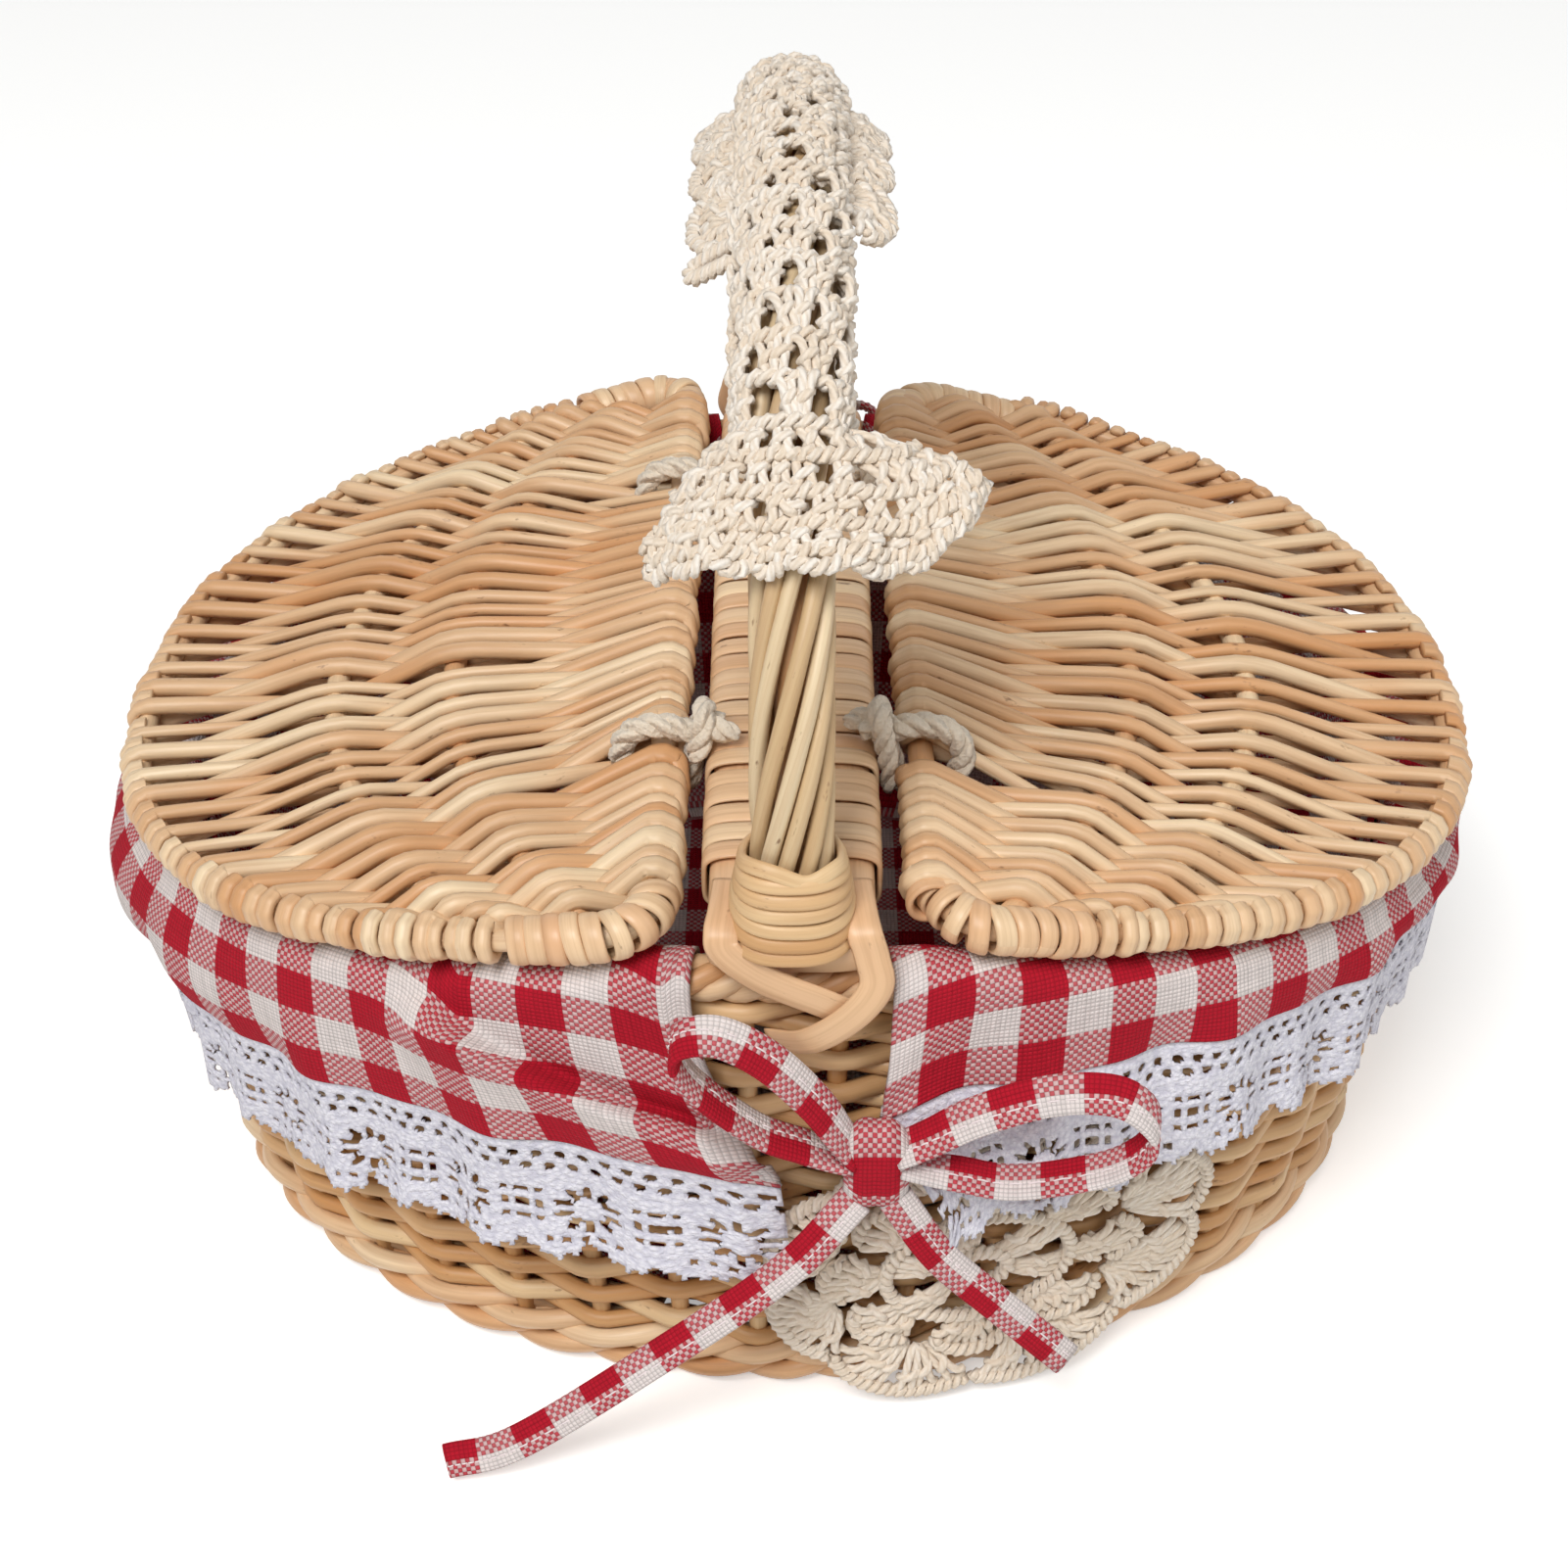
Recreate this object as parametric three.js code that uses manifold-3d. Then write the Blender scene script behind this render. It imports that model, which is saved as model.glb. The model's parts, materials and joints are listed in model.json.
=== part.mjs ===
// A willow picnic basket: an oval woven body with a bridge across it, a fixed arched handle of
// twisted rods, two D-shaped woven lids tied to the bridge with cotton rope, a gathered cloth
// liner whose cuff is trimmed with lace and tied in a bow, and crocheted cotton trimmings.
// Millimetres, +X right, +Y back, +Z up, origin under the middle of the base.
import * as THREE from "three";
import { mergeVertices } from "three/addons/utils/BufferGeometryUtils.js";
import Module from "manifold-3d";

const wasm = await Module();
wasm.setup();

// Gaps between pieces
const SEAT = 0.3; // pieces that touch
const RUN = 0.4; // a piece that turns inside another

// Woven body
const BASE_HALF_X = 146;
const BASE_HALF_Y = 120;
const BASE_POWER = 2.0;
const BASE_T = 8;
const RIM_HALF_X = 158;
const RIM_HALF_Y = 127.5;
const RIM_POWER = 2.2;
const RIM_Z = 128.9;
const WALL_T = 9;
const UPSETT_H = 11;
const UPSETT_PROUD = 1;
const BORDER_W = 11;
const BORDER_H = 10;
const BODY_STEPS = 40;
const WALL_ROWS = 9;
const WALL_RELIEF = 3; // from a rod in front of a stake to one behind it

// Bridge and its splint binding
const BRIDGE_W = 35;
const BRIDGE_T = 12;
const BRIDGE_EDGE_R = 4;
const BRIDGE_PROUD = 1.5;
const SPLINT_T = 1.5;
const BRIDGE_SPLINT_W = 10.5;
const WINDING_GAP = 0.6;

// Handle
const HANDLE_D = 17.6;
const HANDLE_ROD_D = 4.2;
const HANDLE_RISE = 114;
const HANDLE_POWER = 2.1;
const HANDLE_INSET = 7;
const HANDLE_TWIST = 1.5;
const HANDLE_STEPS = 20;
const COLLAR_TURNS = 6;
const COLLAR_SPLINT_W = 2.2;
const COLLAR_SPREAD = 2.2;
const LASH_W = 8;
const LASH_X = 14;
const LASH_DROP = 30;
const LASH_REACH = 16;

// Lids
const LID_OVERHANG = 7;
const LID_POWER = 2.33;
const LID_TILT = THREE.MathUtils.degToRad(10);
const LID_ROD_D = 7;
const LID_EDGE_D = 13;
const LID_WEAVE_T = 9;
const LID_CORNER_R = 10;
const LID_BOW_STEPS = 16;
const LID_SCARF = 2;
const RIB_D = 6;
const RIB_STOP = 4.5;
const RIB_COUNT = 2;
const RIB_STEPS = 24;
const RIB_FIRST = { middle: 82, end: 38 };
const RIB_LAST = { middle: 111, end: 62 };
const SLOT_COUNT = 11; // across the lid
const SLOT_W = 5;
const SLOT_REACH = 95; // either way from the lid's middle
const SLOT_LAND = 4; // of weave beside a rib or the edge

// Rope hinge ties
const ROPE_D = 5;
const TIE_Y = 61;
const TIE_KNOT = { x: 4.2, y: 4, z: 3.6 };
const TIE_FROM = 140; // degrees round the rod, from outward
const TIE_TO = -170;
const TIE_STEPS = 12;

// Cloth liner and lace
const CLOTH_T = 1.3;
const CUFF_DROP = { left: 34, right: 16 };
const CUFF_CORNER_DROP = { left: 22, right: 21 };
const CUFF_CORNER_REACH = 40;
const CUFF_FLARE = 2.4;
const CUFF_FOLD = 1.6;
const CUFF_FOLDS = 20;
const CUFF_SPLIT = 21;
const LACE_DROP = 28;
const LACE_SCALLOP_H = 4;

// Bow
const TAPE_W = 8;
const TAPE_T = 2.2;
const BOW_KNOT_HALF = { x: 6.5, y: 5, z: 9.5 };
const BOW_KNOT_TAPER = 0.3;
const BOW_X = 18;
const BOW_Z = 83;
const BOW_LEFT = { reach: 48, opening: 15, rise: 47 };
const BOW_RIGHT = { reach: 52, opening: 22, rise: 17 };
const LOOP_ROOT = { y: -1, z: 2 };
const LOOP_LEAN = 0.062; // forward for each unit along, past the wall's own lean
const LOOP_OPEN = { from: 0.35, to: 0.78 }; // shares of the reach
const TAIL_LONG = [
  [-4.2, -2, -8.7],
  [-20, -6, -27],
  [-50, -10, -51],
  [-80, -13, -73],
  [-96, -14, -78],
];
const TAIL_SHORT = [
  [4.2, -2, -8.4],
  [14, -2.5, -25],
  [27, -2, -40],
  [44, 0, -60],
];

// Crochet work
const DOILY_HALF_X = 57;
const DOILY_ABOVE = 44;
const DOILY_BELOW = 36;
const DOILY_PETALS = 8;
const DOILY_SCALLOP = 4;
const DOILY_X = 47;
const DOILY_Z = 38;
const DOILY_T = 2;
const DOILY_FLARE = 6;
const COVER_T = 3;
const COVER_START = 0.262;
const SKIRT_LENGTH = 26;
const SKIRT_FRONT = { left: 28, right: 37 };
const SKIRT_REAR = { left: 22, right: 22 };
const SKIRT_WRAP = { top: 1.75, hem: 1 }; // radians each way round the handle
const SKIRT_DROOP = 0.35; // of the half width, at the edges of the hem
const FLAP_REACH = 12;
const FLAP_LENGTH = { front: 36, rear: 62 }; // from the top of the arch
const FLAP_SCALLOPS = 4;
const FLAP_NOTCH = 0.45; // of the reach, left between scallops
const FLAP_SLOPE = { out: 0.8, down: 0.6 };
const FLAP_BELOW = 2;

// Sizes that follow from those above
const bridgeHalf = BRIDGE_W / 2 + SEAT + SPLINT_T;
const tieRadius = LID_ROD_D / 2 + RUN + ROPE_D / 2;
const hingeX = bridgeHalf + 2 * RUN + tieRadius + ROPE_D / 2;
const hingeZ = RIM_Z + 2 * SEAT + CLOTH_T + LID_EDGE_D / 2 / Math.cos(LID_TILT);
const bridgeTop = RIM_Z + SEAT + BRIDGE_T;
const bridgeEnd = RIM_HALF_Y + BRIDGE_PROUD;
const handleY = RIM_HALF_Y - HANDLE_INSET;
const handleFoot = bridgeTop + SEAT;
const lidHalfX = RIM_HALF_X + LID_OVERHANG;
const lidHalfY = RIM_HALF_Y + LID_OVERHANG;
const wallLean = (RIM_HALF_Y - BASE_HALF_Y) / RIM_Z;

const acrossX = new THREE.Vector3(1, 0, 0);
const upZ = new THREE.Vector3(0, 0, 1);
const mix = THREE.MathUtils.lerp;

// Materials
function material(color, roughness) {
  return new THREE.MeshStandardMaterial({ color, roughness, metalness: 0 });
}
const willow = material(0xd2a069, 0.6);
const paleWillow = material(0xd9be8f, 0.6);
const splint = material(0xdcb27a, 0.55);
const rope = material(0xeae3d0, 0.9);
const gingham = material(0xc8505a, 0.9);
const lace = material(0xf0eff5, 0.9);
const crochet = material(0xefe6d4, 0.95);

const basket = new THREE.Group();

function addMesh(parent, name, geometry, look) {
  const mesh = new THREE.Mesh(geometry, look);
  mesh.name = name;
  parent.add(mesh);
}

// A geometry from points and triangles, turned inside out if its faces look inward.
function closedGeometry(points, triangles) {
  let volume = 0;
  for (const [a, b, c] of triangles) {
    volume += points[a].dot(new THREE.Vector3().crossVectors(points[b], points[c]));
  }
  const order = volume < 0 ? ([a, b, c]) => [a, c, b] : (corners) => corners;
  const geometry = new THREE.BufferGeometry().setFromPoints(points);
  geometry.setIndex(triangles.flatMap(order));
  return geometry;
}

// Joins rings of points, all with the same count: to a closed loop of rings, or capped at both ends.
function joinRings(rings, capped) {
  const count = rings[0].length;
  const points = rings.flat();
  const triangles = [];
  const spans = capped ? rings.length - 1 : rings.length;
  for (let i = 0; i < spans; i++) {
    const near = i * count;
    const far = ((i + 1) % rings.length) * count;
    for (let j = 0; j < count; j++) {
      const next = (j + 1) % count;
      triangles.push([near + j, near + next, far + next], [near + j, far + next, far + j]);
    }
  }
  if (capped) {
    for (const [ring, first] of [[rings[0], 0], [rings.at(-1), (rings.length - 1) * count]]) {
      const centre = ring.reduce((sum, p) => sum.add(p), new THREE.Vector3()).divideScalar(count);
      points.push(centre);
      for (let j = 0; j < count; j++) {
        const next = (j + 1) % count;
        const fan = [points.length - 1, first + next, first + j];
        triangles.push(first === 0 ? fan : [fan[0], fan[2], fan[1]]);
      }
    }
  }
  return closedGeometry(points, triangles);
}

// A sheet with thickness: two grids of points, rows by columns, joined along their edges.
function slab(face, back) {
  const rows = face.length;
  const columns = face[0].length;
  const points = [...face.flat(), ...back.flat()];
  const under = rows * columns;
  const triangles = [];
  const quad = (a, b, c, d) => triangles.push([a, b, c], [a, c, d]);
  for (let i = 0; i < rows - 1; i++) {
    for (let j = 0; j < columns - 1; j++) {
      const a = i * columns + j;
      quad(a, a + 1, a + 1 + columns, a + columns);
      quad(under + a, under + a + columns, under + a + 1 + columns, under + a + 1);
    }
  }
  const edge = (a, b) => quad(b, a, under + a, under + b);
  for (let j = 0; j < columns - 1; j++) {
    edge(j, j + 1);
    edge((rows - 1) * columns + j + 1, (rows - 1) * columns + j);
  }
  for (let i = 0; i < rows - 1; i++) {
    edge((i + 1) * columns, i * columns);
    edge(i * columns + columns - 1, (i + 1) * columns + columns - 1);
  }
  return closedGeometry(points, triangles);
}

// Rings of a section placed at stations, each with a point and the directions across and up.
function sectionRings(stations, section) {
  return stations.map(({ at, across, up }) =>
    section.map(([a, b]) => at.clone().addScaledVector(across, a).addScaledVector(up, b))
  );
}

// Stations along points: up is as near its hint as the path allows.
function stationsAlong(points, hints, closed = false) {
  const last = points.length - 1;
  return points.map((at, i) => {
    const before = closed ? points.at(i - 1) : points[Math.max(i - 1, 0)];
    const after = closed ? points[(i + 1) % points.length] : points[Math.min(i + 1, last)];
    const along = new THREE.Vector3().subVectors(after, before).normalize();
    const up = hints[i].clone().addScaledVector(along, -hints[i].dot(along)).normalize();
    return { at, across: new THREE.Vector3().crossVectors(up, along), up };
  });
}

function roundSection(diameter, sides) {
  return Array.from({ length: sides }, (_, i) => {
    const turn = (2 * Math.PI * i) / sides;
    return [(Math.cos(turn) * diameter) / 2, (Math.sin(turn) * diameter) / 2];
  });
}

function flatSection(width, thick) {
  const w = width / 2;
  const t = thick / 2;
  return [[-w, -t], [w, -t], [w, t], [-w, t]];
}

// Steps from one value to another, both included.
function steps(from, to, count) {
  return Array.from({ length: count + 1 }, (_, i) => mix(from, to, i / count));
}

// The least distance between points of a winding that lie more than half a turn apart.
function leastGap(rings, perTurn) {
  let least = Infinity;
  for (let i = 0; i < rings.length; i++) {
    for (let j = i + Math.ceil(perTurn / 2) + 1; j < rings.length; j++) {
      for (const p of rings[i]) {
        for (const q of rings[j]) {
          least = Math.min(least, p.distanceTo(q));
        }
      }
    }
  }
  return least;
}

function addWinding(parent, name, rings, perTurn, look) {
  console.log(`${name}: least gap ${leastGap(rings, perTurn).toFixed(2)} mm`);
  addMesh(parent, name, joinRings(rings, true), look);
}

// Closed meshes to solids and back, for joins and cuts
function solid(geometry) {
  const bare = geometry.clone();
  bare.deleteAttribute("normal");
  bare.deleteAttribute("uv");
  const merged = mergeVertices(bare);
  const vertProperties = Float32Array.from(merged.attributes.position.array);
  const triVerts = Uint32Array.from(merged.index.array);
  return new wasm.Manifold(new wasm.Mesh({ numProp: 3, vertProperties, triVerts }));
}

function meshOf(manifold) {
  const { numProp, vertProperties, triVerts } = manifold.getMesh();
  const points = [];
  for (let i = 0; i < vertProperties.length; i += numProp) {
    points.push(new THREE.Vector3(...vertProperties.slice(i, i + 3)));
  }
  const geometry = new THREE.BufferGeometry().setFromPoints(points);
  geometry.setIndex(Array.from(triVerts));
  return geometry;
}

// A superellipse: a power of 2 is an ellipse, and more is squarer.
function oval(halfX, halfY, power, turn) {
  const c = Math.cos(turn);
  const s = Math.sin(turn);
  const bend = 2 / power;
  return [halfX * Math.sign(c) * Math.abs(c) ** bend, halfY * Math.sign(s) * Math.abs(s) ** bend];
}

// Woven body: the rim falls away from the bridge at the slope of the lids.
function rimHeight(x) {
  return RIM_Z - Math.max(0, Math.abs(x) - hingeX) * Math.tan(LID_TILT);
}

// A point at a turn round the body, some way out from its outer face, at a height given from the rim's.
function bodyPoint(turn, out, heightFrom) {
  const [edgeX] = oval(RIM_HALF_X, RIM_HALF_Y, RIM_POWER, turn);
  const rim = rimHeight(edgeX);
  const z = heightFrom(rim);
  const share = z / rim;
  const halfX = mix(BASE_HALF_X, RIM_HALF_X, share) + out;
  const halfY = mix(BASE_HALF_Y, RIM_HALF_Y, share) + out;
  const [x, y] = oval(halfX, halfY, mix(BASE_POWER, RIM_POWER, share), turn);
  return new THREE.Vector3(x, y, z);
}

const fullTurns = steps(0, 2 * Math.PI, BODY_STEPS).slice(0, -1);

function bodyRing(out, heightFrom) {
  return fullTurns.map((turn) => bodyPoint(turn, out, heightFrom));
}

// The wall: rods pass in front of one stake and behind the next, and each row takes the other way.
function wovenWall(low, high) {
  const at = (share) => (rim) => mix(low(rim), high(rim), share);
  const outside = steps(0, 1, WALL_ROWS).map((share, row) =>
    fullTurns.map((turn, stake) => bodyPoint(turn, (row + stake) % 2 ? -WALL_RELIEF : 0, at(share)))
  );
  const inside = steps(1, 0, 2).map((share) => bodyRing(-WALL_T, at(share)));
  return joinRings([...outside, ...inside], false);
}

function addBody() {
  const edge = bodyRing(-WALL_T - SEAT, () => 0);
  const outline = new THREE.Shape(edge.map((p) => new THREE.Vector2(p.x, p.y)));
  const base = new THREE.ExtrudeGeometry(outline, { depth: BASE_T, bevelEnabled: false });
  addMesh(basket, "base_mat", base, willow);
  const [bottom, top] = [() => 0, () => UPSETT_H];
  const outside = [bodyRing(UPSETT_PROUD, bottom), bodyRing(UPSETT_PROUD, top)];
  const inside = [bodyRing(-WALL_T, top), bodyRing(-WALL_T, bottom)];
  addMesh(basket, "upsett_band", joinRings([...outside, ...inside], false), willow);
  const wallTop = (rim) => rim - BORDER_H - SEAT;
  addMesh(basket, "side_wall", wovenWall(() => UPSETT_H + SEAT, wallTop), willow);
  const section = roundSection(1, 6);
  const border = fullTurns.map((turn) =>
    section.map(([a, b]) =>
      bodyPoint(turn, -WALL_T / 2 + a * BORDER_W, (rim) => rim - BORDER_H / 2 + b * BORDER_H)
    )
  );
  addMesh(basket, "rim_border", joinRings(border, false), willow);
}

// Bridge: a flat bar on the rim, bound with splint between the feet of the handle.
function roundedBox(halfW, halfT, radius) {
  const corners = [[1, 1, 0], [-1, 1, 1], [-1, -1, 2], [1, -1, 3]];
  return corners.flatMap(([sx, sz, quarter]) =>
    steps(0, 1, 2).map((share) => {
      const turn = ((quarter + share) * Math.PI) / 2;
      const out = new THREE.Vector2(Math.cos(turn), Math.sin(turn));
      const x = sx * (halfW - radius) + out.x * radius;
      const z = sz * (halfT - radius) + out.y * radius;
      return { x, z, out };
    })
  );
}

function addBridge() {
  const middleZ = bridgeTop - BRIDGE_T / 2;
  const bar = roundedBox(BRIDGE_W / 2, BRIDGE_T / 2, BRIDGE_EDGE_R);
  const ring = (y) => bar.map(({ x, z }) => new THREE.Vector3(x, y, middleZ + z));
  addMesh(basket, "bridge_board", joinRings([ring(-bridgeEnd), ring(bridgeEnd)], true), willow);

  const lift = SEAT + SPLINT_T / 2;
  const path = roundedBox(BRIDGE_W / 2 + lift, BRIDGE_T / 2 + lift, BRIDGE_EDGE_R + lift);
  const pitch = BRIDGE_SPLINT_W + WINDING_GAP;
  const reach = handleY - HANDLE_D / 2 - SPLINT_T - BRIDGE_SPLINT_W / 2;
  const turns = Math.floor((2 * reach) / pitch);
  const points = [];
  const hints = [];
  for (let i = 0; i <= turns * path.length; i++) {
    const { x, z, out } = path[i % path.length];
    const y = pitch * (i / path.length - turns / 2);
    points.push(new THREE.Vector3(x, y, middleZ + z));
    hints.push(new THREE.Vector3(out.x, 0, out.y));
  }
  const stations = points.map((at, i) => ({ at, across: new THREE.Vector3(0, 1, 0), up: hints[i] }));
  const rings = sectionRings(stations, flatSection(BRIDGE_SPLINT_W, SPLINT_T));
  addWinding(basket, "bridge_binding", rings, path.length, splint);
}

// Handle: an arch in the plane of the bridge, measured along its length from the front foot.
class HandleArch extends THREE.Curve {
  getPoint(t, target = new THREE.Vector3()) {
    const [y, z] = oval(handleY, HANDLE_RISE, HANDLE_POWER, Math.PI * (1 - t));
    return target.set(0, y, handleFoot + z);
  }
}
const arch = new HandleArch();
const archLength = arch.getLength();

function archFrame(share) {
  const along = arch.getTangentAt(share);
  const out = new THREE.Vector3().crossVectors(acrossX, along);
  return { at: arch.getPointAt(share), along, out };
}

// A point beside the arch: so far to the right, and so far out from its middle.
function archPoint({ at, out }, right, outward) {
  return at.clone().addScaledVector(acrossX, right).addScaledVector(out, outward);
}

function addHandle() {
  const coreD = HANDLE_D - 2 * HANDLE_ROD_D - 2 * SEAT;
  const shares = steps(0, 1, HANDLE_STEPS);
  const frames = shares.map(archFrame);
  const station = (frame, right, outward) => ({
    at: archPoint(frame, right, outward),
    across: acrossX,
    up: frame.out,
  });
  const core = frames.map((frame) => station(frame, 0, 0));
  addMesh(basket, "handle_core", joinRings(sectionRings(core, roundSection(coreD, 6)), true), paleWillow);

  const ringR = (HANDLE_D - HANDLE_ROD_D) / 2;
  const count = Math.floor(Math.PI / Math.asin((HANDLE_ROD_D + SEAT) / 2 / ringR));
  for (let rod = 0; rod < count; rod++) {
    const stations = frames.map((frame, i) => {
      const turn = 2 * Math.PI * (rod / count + HANDLE_TWIST * shares[i]);
      return station(frame, ringR * Math.sin(turn), ringR * Math.cos(turn));
    });
    const rings = sectionRings(stations, roundSection(HANDLE_ROD_D, 5));
    addMesh(basket, `handle_rod_${rod + 1}`, joinRings(rings, true), paleWillow);
  }
}

// A splint collar wound up each foot of the handle, wider at the bottom.
function addCollars() {
  const perTurn = 12;
  const pitch = COLLAR_SPLINT_W + WINDING_GAP;
  const start = SPLINT_T + SEAT + COLLAR_SPLINT_W / 2;
  const radius = HANDLE_D / 2 + SEAT + SPLINT_T / 2;
  for (const [name, fromFront] of [["handle_collar_front", true], ["handle_collar_rear", false]]) {
    const stations = [];
    for (let i = 0; i <= COLLAR_TURNS * perTurn; i++) {
      const share = (start + (pitch * i) / perTurn) / archLength;
      const frame = archFrame(fromFront ? share : 1 - share);
      const turn = (2 * Math.PI * i) / perTurn;
      const spread = radius + COLLAR_SPREAD * (1 - i / (COLLAR_TURNS * perTurn));
      const at = archPoint(frame, spread * Math.sin(turn), spread * Math.cos(turn));
      const up = archPoint(frame, Math.sin(turn), Math.cos(turn)).sub(frame.at);
      stations.push({ at, across: frame.along, up });
    }
    const rings = sectionRings(stations, flatSection(COLLAR_SPLINT_W, SPLINT_T));
    addWinding(basket, name, rings, perTurn, splint);
  }
}

// Two splints crossed over each end of the bridge hold it down to the rim.
function lashGeometry(hand, lift) {
  const top = bridgeTop + SEAT + SPLINT_T / 2;
  const front = -(bridgeEnd + 2 * SEAT + SPLINT_T / 2 + lift);
  const low = bridgeTop - LASH_DROP;
  const x = hand * LASH_X;
  const crossed = x * (1 - (2 * SPLINT_T) / LASH_DROP);
  const corner = new THREE.Vector3(0, -1, 1).normalize();
  const forward = new THREE.Vector3(0, -1, 0);
  const route = [
    [[x, -(bridgeEnd - LASH_REACH), top], upZ],
    [[x, -(bridgeEnd - SPLINT_T), top], upZ],
    [[x, front, top], corner],
    [[crossed, front, bridgeTop - SPLINT_T], forward],
    [[0, front, (bridgeTop + low) / 2], forward],
    [[-x, front, low], forward],
  ];
  const points = route.map(([place]) => new THREE.Vector3(...place));
  const hints = route.map(([, hint]) => hint);
  return joinRings(sectionRings(stationsAlong(points, hints), flatSection(LASH_W, SPLINT_T)), true);
}

function addLashing(end, turned) {
  const group = new THREE.Group();
  group.rotation.z = turned;
  addMesh(group, `lash_under_${end}`, lashGeometry(1, 0), splint);
  addMesh(group, `lash_over_${end}`, lashGeometry(-1, SPLINT_T + SEAT), splint);
  basket.add(group);
}

// Rope ties: each loops once round the inner rod of a lid and is knotted on the bridge.
function addTie(name, side, y) {
  const rest = bridgeTop + SPLINT_T;
  const knot = new THREE.Vector3(bridgeHalf - TIE_KNOT.x / 2, y, rest + TIE_KNOT.z);
  const onRod = (degrees) => {
    const turn = THREE.MathUtils.degToRad(degrees);
    return new THREE.Vector3(hingeX + tieRadius * Math.cos(turn), y, hingeZ + tieRadius * Math.sin(turn));
  };
  const points = [knot, ...steps(TIE_FROM, TIE_TO, TIE_STEPS).map(onRod)];
  const hints = points.map(() => new THREE.Vector3(0, 1, 0));
  const loop = joinRings(sectionRings(stationsAlong(points, hints), roundSection(ROPE_D, 6)), true);
  const ball = new THREE.SphereGeometry(1, 8, 6);
  ball.scale(TIE_KNOT.x, TIE_KNOT.y, TIE_KNOT.z);
  ball.translate(knot.x, knot.y, knot.z);
  const tie = meshOf(solid(loop).add(solid(ball)));
  const turned = new THREE.Group();
  turned.rotation.z = side > 0 ? 0 : Math.PI;
  addMesh(turned, name, tie, rope);
  basket.add(turned);
}

// Lids, each drawn flat from its hinge axis outward and then tilted down to the rim.
function lidPlan(inset, turn) {
  const [x, y] = oval(lidHalfX - inset, lidHalfY - inset, LID_POWER, turn);
  return [(x - hingeX) / Math.cos(LID_TILT), y];
}

// The middle of the lid's edge, from the front corner round the bow to the rear corner.
function lidBow() {
  const inset = LID_EDGE_D / 2;
  const share = (hingeX + LID_CORNER_R) / (lidHalfX - inset);
  const end = Math.acos(share ** (LID_POWER / 2));
  const bow = steps(-end, end, LID_BOW_STEPS).map((turn) => lidPlan(inset, turn));
  const [cornerX, cornerY] = bow.at(-1);
  const corner = steps(1, 0, 2).map((part) => {
    const turn = (Math.PI / 2) * (2 - part);
    return [cornerX * (1 + Math.cos(turn)), cornerY - LID_CORNER_R * (1 - Math.sin(turn))];
  });
  const rear = corner.slice(1);
  const front = rear.map(([x, y]) => [x, -y]).reverse();
  return [...front, ...bow, ...rear];
}

// The tube of a rod along points in the lid's plane.
function lidTube(points, diameter, sides, closed) {
  const path = points.map(([x, y]) => new THREE.Vector3(x, y, 0));
  const stations = stationsAlong(path, path.map(() => upZ), closed);
  return joinRings(sectionRings(stations, roundSection(diameter, sides)), !closed);
}

const ribs = steps(0, 1, RIB_COUNT - 1).map((share) => ({
  middle: mix(RIB_FIRST.middle, RIB_LAST.middle, share),
  end: mix(RIB_FIRST.end, RIB_LAST.end, share),
}));

// How far a rib runs either way from the lid's middle, to the middle of the bow.
function ribReach({ end }) {
  const inset = LID_EDGE_D / 2;
  const share = (end / (lidHalfX - inset)) ** LID_POWER;
  return (lidHalfY - inset) * (1 - share) ** (1 / LID_POWER);
}

// How far out a rib lies, bowed outward from its ends.
function ribX(rib, y) {
  const x = rib.middle - (rib.middle - rib.end) * (y / ribReach(rib)) ** 2;
  return (x - hingeX) / Math.cos(LID_TILT);
}

// A rib's points, between ends that stop short of the bow by a distance.
function ribLine(rib, stop) {
  const last = ribReach(rib) - stop;
  return steps(-last, last, RIB_STEPS).map((y) => [ribX(rib, y), y]);
}

// How far out the middle of the bow lies.
function bowX(y) {
  const inset = LID_EDGE_D / 2;
  const share = (Math.abs(y) / (lidHalfY - inset)) ** LID_POWER;
  const x = (lidHalfX - inset) * (1 - share) ** (1 / LID_POWER);
  return (x - hingeX) / Math.cos(LID_TILT);
}

// The gaps between the woven rods, from rib to rib and from the last rib to the bow.
function weaveSlots() {
  const beside = RIB_D / 2 + SEAT + SLOT_LAND;
  const within = LID_EDGE_D / 2 + SLOT_LAND;
  return steps(-SLOT_REACH, SLOT_REACH, SLOT_COUNT - 1).flatMap((y) =>
    ribs.map((rib, i) => {
      const start = ribX(rib, y) + beside;
      const end = i + 1 < RIB_COUNT ? ribX(ribs[i + 1], y) - beside : bowX(y) - within;
      const slot = new THREE.BoxGeometry(end - start, SLOT_W, LID_EDGE_D);
      return slot.translate((start + end) / 2, y, 0);
    })
  );
}

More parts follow.
